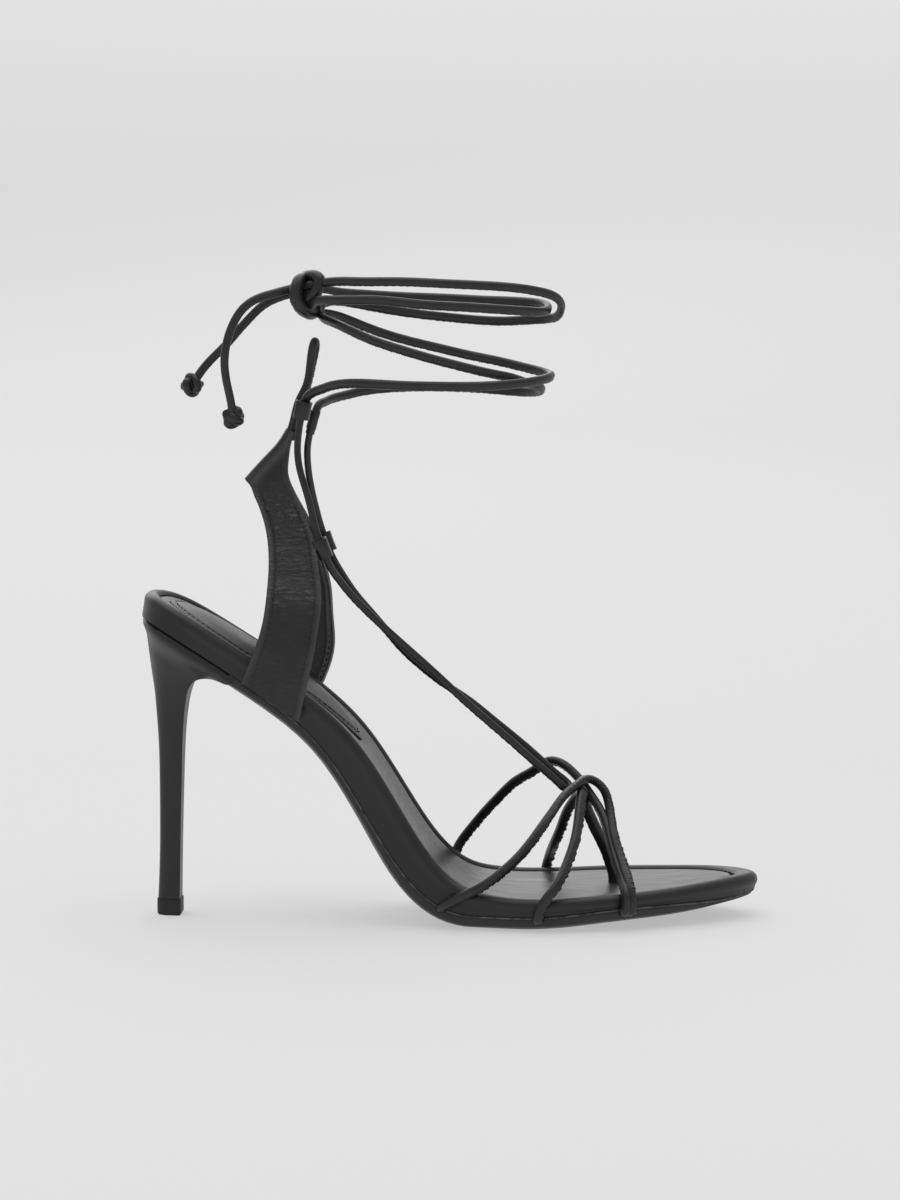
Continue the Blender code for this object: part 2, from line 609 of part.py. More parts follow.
def sling_surface():
    """Inner-face points of one wing, rear to front, as x, distance from the mid-plane and z."""
    count = (len(SLING_ROWS) - 1) * SLING_ROW_STEPS + 1
    levels = np.linspace(0, len(SLING_ROWS) - 1, count)
    share = np.linspace(0.0, 1.0, SLING_COLUMNS)
    surface = []
    for values in smooth_columns(range(len(SLING_ROWS)), SLING_ROWS, levels):
        row = SlingRow(*values)
        rear = np.array([row.rear_x, row.rear_gap, row.rear_z])
        front = np.array([row.front_x, row.front_gap, row.front_z])
        surface.append(rear + (front - rear) * share[:, None])
    return surface


def make_sling():
    """The heel sling: two wings from the midsole's sides, joined along a fold at the back."""
    surface = sling_surface()
    mesh = bpy.data.meshes.new("heel_sling")
    bm = bmesh.new()

    def corner(x, from_middle, z):
        return bm.verts.new(Vector((x, HEEL_AXIS_Y + from_middle, z)) * MM)

    wings = []
    share = np.linspace(0.0, 1.0, SLING_COLUMNS)
    for side, shifts in ((-1, LATERAL_FRONT_SHIFTS), (1, MEDIAL_FRONT_SHIFTS)):
        wing = []
        for row in surface:
            forward = sum(by * share * np.exp(-(((row[:, 2] - z) / span) ** 2)) for by, z, span in shifts)
            wing.append([corner(x + ahead, side * gap, z) for (x, gap, z), ahead in zip(row, forward)])
        wings.append(wing)
    for wing in wings:
        for lower, upper in zip(wing, wing[1:]):
            for i in range(SLING_COLUMNS - 1):
                bm.faces.new((lower[i], lower[i + 1], upper[i + 1], upper[i]))
    folds = []
    for row in surface[FOLD_ROW * SLING_ROW_STEPS :]:
        x, _, z = row[0]
        folds.append(corner(x - FOLD_DEPTH, 0.0, z))
    for index, (lower, upper) in enumerate(zip(folds, folds[1:])):
        level = FOLD_ROW * SLING_ROW_STEPS + index
        for wing in wings:
            bm.faces.new((lower, upper, wing[level + 1][0], wing[level][0]))
    bmesh.ops.recalc_face_normals(bm, faces=bm.faces)
    bm.to_mesh(mesh)
    bm.free()
    sling = add_object("heel_sling", mesh, leather("sling_leather", (0.013, 0.013, 0.014), 0.42))
    wall = sling.modifiers.new("wall", "SOLIDIFY")
    wall.thickness = SLING_WALL * MM
    wall.offset = 1.0
    wall.use_even_offset = True
    return sling


def make_keeper(keeper):
    """A sleeve round a tie's run, square to the run at its height."""
    run = smooth_route(keeper.route, 1.0)
    nearest = int(np.argmin(np.abs(run[:, 2] - keeper.middle_z)))
    axis = Vector(run[nearest + 2] - run[nearest - 2]).normalized()
    bore = TIE_RADIUS + KEEPER_PLAY
    outside = bore + KEEPER_WALL
    half = KEEPER_LENGTH / 2
    turn = np.linspace(0, 2 * math.pi, KEEPER_SIDES, endpoint=False)
    rings = []
    for radius, end, fullness in (
        (bore, -half, 1.0),
        (bore, half, 1.0),
        (outside, half, KEEPER_SQUARENESS),
        (outside, -half, KEEPER_SQUARENESS),
    ):
        across = radius * np.sign(np.cos(turn)) * np.abs(np.cos(turn)) ** fullness
        away = radius * np.sign(np.sin(turn)) * np.abs(np.sin(turn)) ** fullness
        rings.append(np.stack([across, away, np.full(KEEPER_SIDES, end)], axis=1))
    rings.append(rings[0])
    material = leather(keeper.name + "_leather", (0.012, 0.012, 0.012), 0.36)
    sleeve = loft(keeper.name, rings, material, close=False)
    bm = bmesh.new()
    bm.from_mesh(sleeve.data)
    bmesh.ops.remove_doubles(bm, verts=bm.verts, dist=WELD)
    bmesh.ops.recalc_face_normals(bm, faces=bm.faces)
    bm.to_mesh(sleeve.data)
    bm.free()
    sleeve.location = Vector(run[nearest]) * MM
    sleeve.rotation_euler = axis.to_track_quat("Z", "Y").to_euler()
    return sleeve


def make_back_loop():
    """The rolled strap, doubled over, that stands up from the sling's fold."""
    material = leather("loop_leather", (0.012, 0.012, 0.012), 0.4)
    return tube("back_loop", smooth_route(BACK_LOOP, LOOP_STEP), LOOP_RADIUS, material)


def make_instep_tie():
    """The tie's two runs up the instep, one piece that turns under the crossing."""
    route = TIE_LATERAL_RUN[::-1] + TIE_MEDIAL_RUN
    material = leather("tie_leather", (0.012, 0.012, 0.012), 0.38)
    return tube("instep_tie", smooth_route(route, INSTEP_STEP), TIE_RADIUS, material)


def go_on(run, route):
    """Points of a cord that goes on from a run's end along a route, a gap away and square to that end."""
    last = smooth_route(run, INSTEP_STEP)[-2:]
    heading = (last[1] - last[0]) / np.linalg.norm(last[1] - last[0])
    start = last[1] + heading * GAP
    rest = smooth_route(np.vstack([start + heading * TIE_RADIUS, route]), TIE_STEP)
    return np.vstack([start, rest])


def make_free_cords():
    """The free part of the tie: wraps, tails and knots, as plain cords and lumps."""
    material = leather("cord_leather", (0.012, 0.012, 0.012), 0.38)
    for name, points in (
        ("lateral_tie_wrap", go_on(TIE_LATERAL_RUN, TIE_LATERAL_WRAP)),
        ("medial_tie_wrap", go_on(TIE_MEDIAL_RUN, TIE_MEDIAL_WRAP)),
        ("lateral_tie_tail", smooth_route(TIE_LATERAL_TAIL, TIE_STEP)),
        ("medial_tie_tail", smooth_route(TIE_MEDIAL_TAIL, TIE_STEP)),
    ):
        tube(name, points, TIE_RADIUS, material)
    for knot in KNOTS:
        mesh = bpy.data.meshes.new(knot.name)
        bm = bmesh.new()
        bmesh.ops.create_uvsphere(bm, u_segments=KNOT_SEGMENTS, v_segments=KNOT_RINGS, radius=MM)
        bmesh.ops.scale(bm, vec=Vector(knot.half_sizes), verts=bm.verts)
        bm.to_mesh(mesh)
        bm.free()
        lump = add_object(knot.name, mesh, material)
        lump.location = Vector(knot.middle) * MM


def clear_scene():
    """Empties the scene and makes the sandal's collections and root."""
    for old in list(bpy.data.objects):
        bpy.data.objects.remove(old)
    for name in ("stiletto_sandal", "helpers"):
        made = bpy.data.collections.new(name)
        bpy.context.scene.collection.children.link(made)
    bpy.data.collections["helpers"].hide_render = True
    root = bpy.data.objects.new("sandal_root", None)
    bpy.data.collections["stiletto_sandal"].objects.link(root)


def main():
    clear_scene()
    make_midsole()
    make_insole()
    make_outsole()
    make_heel_pad()
    make_heel()
    make_heel_tip()
    make_vamp_straps()
    make_sling()
    make_back_loop()
    make_instep_tie()
    for keeper in KEEPERS:
        make_keeper(keeper)
    make_free_cords()


main()
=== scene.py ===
"""Looks of a black lace-up stiletto sandal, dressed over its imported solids.

Sizes and routes are in millimetres in the row frame: +X to the toe, +Y to the inner side, +Z up.
"""

import logging
import math
from dataclasses import dataclass
from enum import Enum
from typing import Any, NamedTuple, Optional, Sequence

import bmesh
import bpy
import numpy as np
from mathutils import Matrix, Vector


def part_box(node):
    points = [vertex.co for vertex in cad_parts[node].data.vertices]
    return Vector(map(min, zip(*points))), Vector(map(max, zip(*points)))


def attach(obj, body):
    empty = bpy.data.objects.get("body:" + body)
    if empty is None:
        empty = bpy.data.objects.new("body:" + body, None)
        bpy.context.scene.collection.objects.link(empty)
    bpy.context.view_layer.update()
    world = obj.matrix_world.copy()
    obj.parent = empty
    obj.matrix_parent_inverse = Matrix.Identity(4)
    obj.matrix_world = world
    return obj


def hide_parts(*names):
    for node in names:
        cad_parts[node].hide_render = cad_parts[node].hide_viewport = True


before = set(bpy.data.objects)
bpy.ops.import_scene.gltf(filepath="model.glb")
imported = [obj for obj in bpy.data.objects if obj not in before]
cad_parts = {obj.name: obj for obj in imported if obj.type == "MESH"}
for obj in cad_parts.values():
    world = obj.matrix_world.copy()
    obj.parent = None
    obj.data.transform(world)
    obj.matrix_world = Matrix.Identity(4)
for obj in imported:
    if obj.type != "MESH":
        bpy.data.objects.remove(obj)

LOG = logging.getLogger("sandal")
MM = 0.001
# Distance between the points of a sewn line
STITCH_STEP = 0.8
# How close two points are that become one
MERGE_REACH = 0.001
Points = np.ndarray
Piece = bpy.types.Object


class Side(Enum):
    """The two sides of a right shoe, as the sign of Y."""

    LATERAL = -1
    MEDIAL = 1


class Cap(Enum):
    """How the first and last ring of a rolled grid are closed."""

    OPEN = "open"
    STRIPS = "strips"
    FILL = "fill"


# Curves through tables


def spline(knots: Sequence[float], values: Points, at: Points) -> Points:
    """Runs a natural cubic spline through rows of values.

    Args:
        knots: Rising places of the rows.
        values: One row of values for each knot.
        at: Places to read.

    Returns:
        One row of values for each place.
    """
    knots = np.asarray(knots, float)
    values = np.asarray(values, float)
    at = np.asarray(at, float)
    gap = np.diff(knots)
    rise = np.diff(values, axis=0) / gap[:, None]
    system = np.eye(len(knots))
    right = np.zeros_like(values)
    for i in range(1, len(knots) - 1):
        system[i, i - 1 : i + 2] = gap[i - 1], 2 * (gap[i - 1] + gap[i]), gap[i]
        right[i] = 6 * (rise[i] - rise[i - 1])
    bend = np.linalg.solve(system, right)
    low = np.clip(np.searchsorted(knots, at, side="right") - 1, 0, len(knots) - 2)
    t = (at - knots[low])[:, None]
    span = gap[low][:, None]
    slope = rise[low] - span * (2 * bend[low] + bend[low + 1]) / 6
    return values[low] + slope * t + bend[low] / 2 * t**2 + (bend[low + 1] - bend[low]) / (6 * span) * t**3


def lengths_along(points: Points) -> Points:
    """Distances of points along their line, from 0."""
    steps = np.linalg.norm(np.diff(np.asarray(points, float), axis=0), axis=1)
    return np.concatenate([[0.0], np.cumsum(steps)])


def read_rows(at: Any, places: Points, rows: Points) -> Points:
    """Reads rows of values at places, along straight lines between the rows.

    Args:
        at: Place or places to read.
        places: Rising places of the rows.
        rows: One row of values for each of these.

    Returns:
        A row of values for each place that is read.
    """
    return np.stack([np.interp(at, places, column) for column in rows.T], axis=-1)


def route(rows: Sequence[Sequence[float]], step: float) -> Points:
    """Points a step apart on a smooth line through a route's points.

    Args:
        rows: The route's points.
        step: Distance between the new points.

    Returns:
        The new points, ends included.
    """
    knots = lengths_along(rows)
    count = max(8, round(knots[-1] / step))
    dense = spline(knots, rows, np.linspace(0.0, knots[-1], 6 * count))
    real = lengths_along(dense)
    even = np.linspace(0.0, real[-1], count + 1)
    return read_rows(even, real, dense)


def unit(vectors: Points) -> Points:
    """Vectors of length 1."""
    return vectors / np.linalg.norm(vectors, axis=-1, keepdims=True)


def hump(values: Points, middle: Any, width: Any) -> Points:
    """A soft ridge of height 1 round a middle."""
    return np.exp(-(((values - middle) / width) ** 2))


def eased(count: int) -> Points:
    """Shares from 0 to 1 that lie closer together at both ends."""
    return (1 - np.cos(np.linspace(0.0, math.pi, count))) / 2


# Modelling by operators


def deselect() -> None:
    """Leaves edit mode and selects nothing."""
    if bpy.context.object and bpy.context.object.mode != "OBJECT":
        bpy.ops.object.mode_set(mode="OBJECT")
    bpy.ops.object.select_all(action="DESELECT")


def pick(piece: Piece) -> None:
    """Selects one piece alone and makes it active.

    Args:
        piece: The piece.
    """
    deselect()
    piece.select_set(True)
    bpy.context.view_layer.objects.active = piece


def named(name: str) -> Piece:
    """Names the piece that was just added.

    Args:
        name: Its name, which its mesh gets too.

    Returns:
        The piece.
    """
    piece = bpy.context.object
    piece.name = name
    piece.data.name = name
    return piece


def link_new(name: str, data: bpy.types.ID) -> Piece:
    """Puts a new object with its data into the scene.

    Args:
        name: The object's name.
        data: Its curve, light or camera.

    Returns:
        The object.
    """
    made = bpy.data.objects.new(name, data)
    bpy.context.scene.collection.objects.link(made)
    return made


def apply_modifiers(piece: Piece) -> None:
    """Applies a piece's modifiers in order.

    Args:
        piece: The piece.
    """
    bpy.context.view_layer.objects.active = piece
    for modifier in list(piece.modifiers):
        bpy.ops.object.modifier_apply(modifier=modifier.name)


def smooth(piece: Piece, angle: float = 40.0) -> None:
    """Shades a piece smooth, with edges sharper than an angle in degrees kept."""
    pick(piece)
    bpy.ops.object.shade_smooth_by_angle(angle=math.radians(angle))


def thicken(sheet: Piece, wall: float, offset: float) -> None:
    """Gives a sheet a wall.

    Args:
        sheet: The sheet.
        wall: Thickness of the wall.
        offset: 1 for a wall in front of the faces, -1 for one behind them.
    """
    modifier = sheet.modifiers.new("wall", "SOLIDIFY")
    modifier.thickness = wall * MM
    modifier.offset = offset


def soften_edges(piece: Piece, width: float, angle: float) -> None:
    """Rounds a piece's sharp edges.

    Args:
        piece: The piece.
        width: Width of the rounding.
        angle: Angle in degrees past which an edge is sharp.
    """
    modifier = piece.modifiers.new("soft_edges", "BEVEL")
    modifier.width = width * MM
    modifier.segments = 3
    modifier.limit_method = "ANGLE"
    modifier.angle_limit = math.radians(angle)


def flip(sheet: Piece) -> None:
    """Turns a sheet's faces round.

    Args:
        sheet: The sheet.
    """
    pick(sheet)
    bpy.ops.object.mode_set(mode="EDIT")
    bpy.ops.mesh.select_all(action="SELECT")
    bpy.ops.mesh.flip_normals()
    bpy.ops.object.mode_set(mode="OBJECT")


def store(sheet: Piece, name: str, values: Points) -> None:
    """Stores a share from 0 to 1 for each vertex under a name that a finish reads."""
    mark = sheet.data.attributes.new(name, "FLOAT", "POINT")
    mark.data.foreach_set("value", np.clip(values, 0.0, 1.0).astype(np.float32))


def select_strips(piece: Piece, first: int, count: int) -> None:
    """Selects the two long sides of one ring of a grid in edit mode, without the edges at its two tips.

    Args:
        piece: The grid, in edit mode.
        first: Index of the ring's first vertex.
        count: Number of the ring's points, which is even.
    """
    bpy.ops.mesh.select_all(action="DESELECT")
    edit = bmesh.from_edit_mesh(piece.data)
    tips = {first + count // 2 - 1, first + count - 1}
    for edge in edit.edges:
        low, high = sorted(vertex.index for vertex in edge.verts)
        if first <= low and high <= first + count and high == low + 1 and low not in tips:
            edge.select = True
    bmesh.update_edit_mesh(piece.data)


def grid_piece(name: str, points: Points, closed: bool = False, cap: Cap = Cap.OPEN) -> Piece:
    """Adds a grid, lays it on rows of points and, where closed, rolls it into a shell.

    Args:
        name: The piece's name.
        points: Array of rows by columns by 3, in millimetres.
        closed: Whether each row is a ring.
        cap: How the first and last rings are closed.

    Returns:
        The piece. A rolled one is shaded smooth.
    """
    count = points.shape[1]
    if closed:
        points = np.concatenate([points, points[:, :1]], axis=1)
    rows, columns = points.shape[:2]
    deselect()
    bpy.ops.mesh.primitive_grid_add(x_subdivisions=columns - 1, y_subdivisions=rows - 1, size=1.0)
    piece = named(name)
    piece.data.vertices.foreach_set("co", (points * MM).astype(np.float32).ravel())
    piece.data.update()
    if not closed:
        return piece
    bpy.ops.object.mode_set(mode="EDIT")
    bpy.ops.mesh.select_mode(type="EDGE")
    if cap is Cap.STRIPS:
        for first in (0, (rows - 1) * columns):
            select_strips(piece, first, count)
            bpy.ops.mesh.bridge_edge_loops()
    bpy.ops.mesh.select_all(action="SELECT")
    bpy.ops.mesh.remove_doubles(threshold=MERGE_REACH * MM)
    if cap is Cap.FILL:
        bpy.ops.mesh.fill_holes(sides=0)
    bpy.ops.mesh.select_all(action="SELECT")
    bpy.ops.mesh.normals_make_consistent(inside=False)
    bpy.ops.object.mode_set(mode="OBJECT")
    smooth(piece)
    return piece


class Stitch(NamedTuple):
    """A row's stitch: distance from stitch to stitch, its length and the thread's thickness."""

    pitch: float
    length: float
    thread: float


def sew(name: str, points: Points, stitch: Stitch) -> Piece:
    """Models one stitch and repeats it along a line.

    Args:
        name: The row's name.
        points: Points of the line on the surface.
        stitch: Sizes of the stitch.

    Returns:
        The row of stitches as one piece.
    """
    path = route(points, STITCH_STEP)
    deselect()
    bpy.ops.mesh.primitive_uv_sphere_add(segments=8, ring_count=6, radius=stitch.thread / 2 * MM)
    row = named(name)
    bpy.ops.object.mode_set(mode="EDIT")
    bpy.ops.mesh.select_all(action="SELECT")
    bpy.ops.transform.resize(value=(stitch.length / stitch.thread, 1.0, 1.0))
    bpy.ops.transform.translate(value=(stitch.length / 2 * MM, 0.0, 0.0))
    bpy.ops.object.mode_set(mode="OBJECT")
    guide_line = bpy.data.curves.new(name + "_line", "CURVE")
    guide_line.dimensions = "3D"
    line = guide_line.splines.new("POLY")
    line.points.add(len(path) - 1)
    line.points.foreach_set("co", np.hstack([path * MM, np.ones((len(path), 1))]).astype(np.float32).ravel())
    guide = link_new(name + "_line", guide_line)
    repeat = row.modifiers.new("repeat", "ARRAY")
    repeat.use_relative_offset = False
    repeat.use_constant_offset = True
    repeat.constant_offset_displace = (stitch.pitch * MM, 0.0, 0.0)
    repeat.count = max(1, int(lengths_along(path)[-1] / stitch.pitch))
    follow = row.modifiers.new("follow", "CURVE")
    follow.object = guide
    apply_modifiers(row)
    bpy.data.objects.remove(guide)
    smooth(row)
    return row


# Finishes


def srgb(code: str) -> tuple[float, float, float, float]:
    """Linear colour of an sRGB hex value.

    Args:
        code: The value, such as #17171a.

    Returns:
        Red, green, blue and alpha.
    """
    channels = [int(code[i : i + 2], 16) / 255 for i in (1, 3, 5)]
    linear = [c / 12.92 if c <= 0.04045 else ((c + 0.055) / 1.055) ** 2.4 for c in channels]
    return (linear[0], linear[1], linear[2], 1.0)


def add_node(
    tree: bpy.types.NodeTree,
    kind: str,
    settings: Optional[dict[str, Any]] = None,
    links: Optional[dict[Any, bpy.types.NodeSocket]] = None,
) -> bpy.types.Node:
    """Adds a shader node.

    Args:
        tree: The tree that gets the node.
        kind: Blender's name of the node type.
        settings: Values of the node's properties or input sockets by name.
        links: Output sockets by the name or index of the input that they feed.

    Returns:
        The new node.
    """
    node = tree.nodes.new(kind)
    for name, value in (settings or {}).items():
        if name in node.inputs:
            node.inputs[name].default_value = value
        else:
            setattr(node, name, value)
    for name, socket in (links or {}).items():
        tree.links.new(socket, node.inputs[name])
    return node


def per_metre(size: float) -> float:
    """Texture scale on Object coordinates of a pattern with this size in millimetres."""
    return 1.0 / (size * MM)


# Colour sockets of a Mix node, by their places
MIX_LOWER = 6
MIX_UPPER = 7
MIX_RESULT = 2


@dataclass(frozen=True)
class Leather:
    """A dyed leather or a like skin: pores, pull, wrinkles, and a slow change of gloss and tone."""

    name: str
    colour: str
    rubbed: str
    roughness: float
    gloss_spread: float = 0.06
    pore: float = 0.55
    pore_depth: float = 0.03
    pore_share: float = 0.6
    pore_disorder: float = 0.9
    pull: float = 4.0
    pull_depth: float = 0.06
    wrinkle: float = 1.1
    wrinkle_depth: float = 0.0
    cloud: float = 14.0
    streak: float = 1.0
    specular: float = 0.5
    # Colours of painted light: one laid in by the mesh's pale attribute, one for painted highlights on the
    # wrinkles' crests
    pale: str = ""
    crest: str = ""
    gloss_range: tuple = (0.3, 0.7)
    tone_range: tuple = (0.35, 0.75)
    crest_highlight_range: tuple = (0.54, 0.74)
    pull_streak: float = 1.6
    wrinkle_streak: float = 3.5
    refraction: float = 1.5

    def material(self) -> bpy.types.Material:
        """The finish as a material, made once.

        Returns:
            The material.
        """
        known = bpy.data.materials.get(self.name)
        if known:
            return known
        made = bpy.data.materials.new(self.name)
        made.use_nodes = True
        tree = made.node_tree
        shader = tree.nodes["Principled BSDF"]
        place = add_node(tree, "ShaderNodeTexCoord").outputs["Object"]
        clouds = self.noise(tree, place, self.cloud, self.streak, detail=5.0)
        gloss = add_node(
            tree,
            "ShaderNodeMapRange",
            {
                "From Min": self.gloss_range[0],
                "From Max": self.gloss_range[1],
                "To Min": self.roughness - self.gloss_spread,
                "To Max": self.roughness + self.gloss_spread,
            },
            {"Value": clouds},
        )
        low, high = self.tone_range
        tone = add_node(tree, "ShaderNodeMapRange", {"From Min": low, "From Max": high}, {"Value": clouds})
        tints = [(self.rubbed, tone.outputs["Result"])]
        # Painted light: a colour laid in by the mesh's pale attribute, and painted highlights on the
        # wrinkles' crests
        if self.pale:
            mark = add_node(tree, "ShaderNodeAttribute", {"attribute_name": "pale"})
            tints.append((self.pale, mark.outputs["Fac"]))
        if self.crest:
            tints.append((self.crest, self.painted_crest_highlights(tree, place)))
        colour = None
        for code, share in tints:
            mixed = add_node(tree, "ShaderNodeMix", {"data_type": "RGBA"}, {"Factor": share})
            mixed.inputs[MIX_LOWER].default_value = srgb(self.colour)
            mixed.inputs[MIX_UPPER].default_value = srgb(code)
            if colour:
                tree.links.new(colour, mixed.inputs[MIX_LOWER])
            colour = mixed.outputs[MIX_RESULT]
        tree.links.new(colour, shader.inputs["Base Color"])
        tree.links.new(gloss.outputs["Result"], shader.inputs["Roughness"])
        tree.links.new(self.relief(tree, place), shader.inputs["Normal"])
        shader.inputs["IOR"].default_value = self.refraction
        shader.inputs["Specular IOR Level"].default_value = self.specular
        return made

    def noise(
        self, tree: bpy.types.NodeTree, place: bpy.types.NodeSocket, size: float, streak: float, detail: float
    ) -> bpy.types.NodeSocket:
        """Noise of a size in millimetres, stretched along the foot.

        Args:
            tree: The material's tree.
            place: The coordinates.
            size: Size of the pattern.
            streak: How many times longer the pattern is along the foot.
            detail: Number of finer layers.

        Returns:
            The noise's value.
        """
        squeeze = (1.0 / streak, 1.0, 1.0)
        stretched = add_node(tree, "ShaderNodeMapping", {"Scale": squeeze}, {"Vector": place})
        return add_node(
            tree,
            "ShaderNodeTexNoise",
            {"Scale": per_metre(size), "Detail": detail, "Roughness": 0.6},
            {"Vector": stretched.outputs["Vector"]},
        ).outputs["Fac"]

    def painted_crest_highlights(self, tree: bpy.types.NodeTree, place: bpy.types.NodeSocket) -> bpy.types.NodeSocket:
        """Painted highlights on the tops of the wrinkles.

        Args:
            tree: The material's tree.
            place: The coordinates.

        Returns:
            The share of the painted highlight's colour.
        """
        folds = self.noise(tree, place, self.wrinkle, self.wrinkle_streak, detail=3.0)
        low, high = self.crest_highlight_range
        tops = add_node(tree, "ShaderNodeMapRange", {"From Min": low, "From Max": high}, {"Value": folds})
        return self.where_wrinkled(tree, tops.outputs["Result"])

    def where_wrinkled(self, tree: bpy.types.NodeTree, value: bpy.types.NodeSocket) -> bpy.types.NodeSocket:
        """Keeps a value only where the leather is wrinkled.

        Args:
            tree: The material's tree.
            value: The value.

        Returns:
            The value that is kept.
        """
        worn = add_node(tree, "ShaderNodeAttribute", {"attribute_name": "wrinkled"})
        links = {0: value, 1: worn.outputs["Fac"]}
        return add_node(tree, "ShaderNodeMath", {"operation": "MULTIPLY"}, links).outputs["Value"]

    def relief(self, tree: bpy.types.NodeTree, place: bpy.types.NodeSocket) -> bpy.types.NodeSocket:
        """Pores, pull and wrinkles over each other.

        Args:
            tree: The material's tree.
            place: The coordinates.

        Returns:
            The normal.
        """
        grain = {"Scale": per_metre(self.pore), "Randomness": self.pore_disorder}
        pores = add_node(tree, "ShaderNodeTexVoronoi", grain, {"Vector": place})
        layers = [(pores.outputs["Distance"], self.pore_share * self.pore_depth)]
        pulled = self.noise(tree, place, self.pull, self.pull_streak, detail=2.0)
        layers.append((pulled, self.pull_depth))
        if self.wrinkle_depth:
            folds = self.noise(tree, place, self.wrinkle, self.wrinkle_streak, detail=3.0)
            layers.append((self.where_wrinkled(tree, folds), self.wrinkle_depth))
        normal = None
        for height, depth in layers:
            links = {"Height": height}
            if normal:
                links["Normal"] = normal
            normal = add_node(tree, "ShaderNodeBump", {"Distance": depth * MM}, links).outputs["Normal"]
        return normal


# Drum-dyed calfskin pulled over the platform and heel: satin, with pores just short of showing
CALF_COVER = Leather("calfskin_cover", "#17171a", "#1f1f22", 0.42, pore=0.5, pull=5.0, pull_depth=0.1)
# Plated footbed leather: a pressed, polished face with streaks along the foot
PLATED_FOOTBED = Leather(
    "plated_footbed_leather",
    "#18181a",
    "#232325",
    0.37,
    gloss_spread=0.09,
    cloud=1.3,
    streak=16.0,
    pull_depth=0.03,
    specular=0.46,
)
# Soft nappa over foam, with an open pebble
NAPPA_PAD = Leather("nappa_heel_pad", "#171719", "#202022", 0.42, pore=0.9, pore_depth=0.08)
# Calfskin folded at its edges and sewn: wrinkled where it bends. Its paler colours are painted light:
# highlights on the turned edges, the fold and the wrinkles' crests, and fill light on the shaded inner faces
CALF_SLING = Leather(
    "calfskin_sling",
    "#151517",
    "#232325",
    0.38,
    pore=0.8,
    pore_depth=0.12,
    cloud=9.0,
    wrinkle_depth=1.5,
    # Paler colours for painted light read from the mesh, and for painted highlights on the wrinkles' crests
    pale="#414143",
    crest="#5c5c5e",
)
# A calf strip rolled round a core and sewn: rubbed a little brighter along its run
ROLLED_CALF = Leather("rolled_calf_cord", "#19191a", "#252526", 0.35, pore=0.6, pore_depth=0.04, cloud=5.0)
# Sole leather, dyed and buffed: dull, with fine scuffs along the foot
BUFFED_SOLE = Leather(
    "buffed_sole_leather", "#1e1e1f", "#303031", 0.5, gloss_spread=0.1, cloud=3.0, streak=5.0
)
# The cut edge of a cover turned in over the sole: paler fibre in breaks, and a painted highlight along the
# feather line
CUT_EDGE_AND_HIGHLIGHT = Leather("cut_edge_and_painted_highlight", "#1d1d1e", "#6a6a6c", 0.6, cloud=3.4, pull=1.2, pull_depth=0.2)
# Moulded top-lift rubber: dull and even
LIFT_RUBBER = Leather("moulded_lift_rubber", "#161617", "#1d1d1e", 0.6, pore=0.3, pore_depth=0.015)
# Bonded sewing thread: drawn as thick as it needs to be to show. It is black, and painted shade too: darker
# and duller than the leather round it, it stands in for the shade in the stitch holes
SEWING_THREAD = Leather("bonded_sewing_thread", "#040405", "#09090a", 0.8, pore=0.2, cloud=3.0, specular=0.06)


def dress(piece: Piece, finish: Leather, slot: str, *nodes: str) -> Piece:
    """Gives a piece its finish and ties it to the frame.

    Args:
        piece: The piece.
        finish: Its finish.
        slot: The record's material slot. Not used.
        nodes: The nodes that it stands for.

    Returns:
        The same piece.
    """
    piece.data.materials.clear()
    piece.data.materials.append(finish.material())
    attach(piece, "root")
    if nodes:
        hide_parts(*nodes)
    LOG.info("%s: %d faces", piece.name, len(piece.data.polygons))
    return piece


# The sole


class Station(NamedTuple):
    """A cross-section of the sole: the rim crest's place and height, its two edges and its layers."""

    x: float
    crest: float
    lateral: float
    medial: float
    wall: float
    outsole: float


STATIONS = (
    Station(-103.7, 111.7, -2.5, -2.5, 8.6, 2.8),
    Station(-96.0, 109.3, -21.0, 16.0, 8.6, 2.8),
    Station(-90.0, 106.2, -25.0, 20.0, 8.6, 2.8),
    Station(-80.0, 100.1, -27.5, 22.5, 8.5, 2.8),
    Station(-66.0, 91.2, -28.4, 23.4, 8.6, 2.8),
    Station(-52.0, 82.2, -28.3, 23.4, 9.3, 2.5),
    Station(-40.0, 72.8, -27.9, 23.6, 10.0, 2.2),
    Station(-28.0, 59.8, -27.5, 24.1, 11.0, 2.0),
    Station(-16.0, 41.0, -28.0, 25.9, 11.4, 2.0),
    Station(-6.0, 25.4, -29.7, 28.7, 11.2, 2.8),
    Station(4.0, 15.7, -32.3, 32.0, 10.2, 3.3),
    Station(14.0, 12.3, -35.6, 35.6, 7.8, 3.2),
    Station(30.0, 11.2, -38.5, 38.5, 6.5, 3.0),
    Station(50.0, 12.0, -36.3, 38.4, 5.5, 3.2),
    Station(72.0, 13.1, -27.0, 34.0, 5.5, 2.9),
    Station(90.0, 14.4, -13.9, 25.4, 6.9, 1.6),
    Station(99.0, 14.8, -3.8, 17.6, 6.8, 1.4),
    Station(103.7, 14.8, 7.0, 7.0, 6.5, 1.4),
)


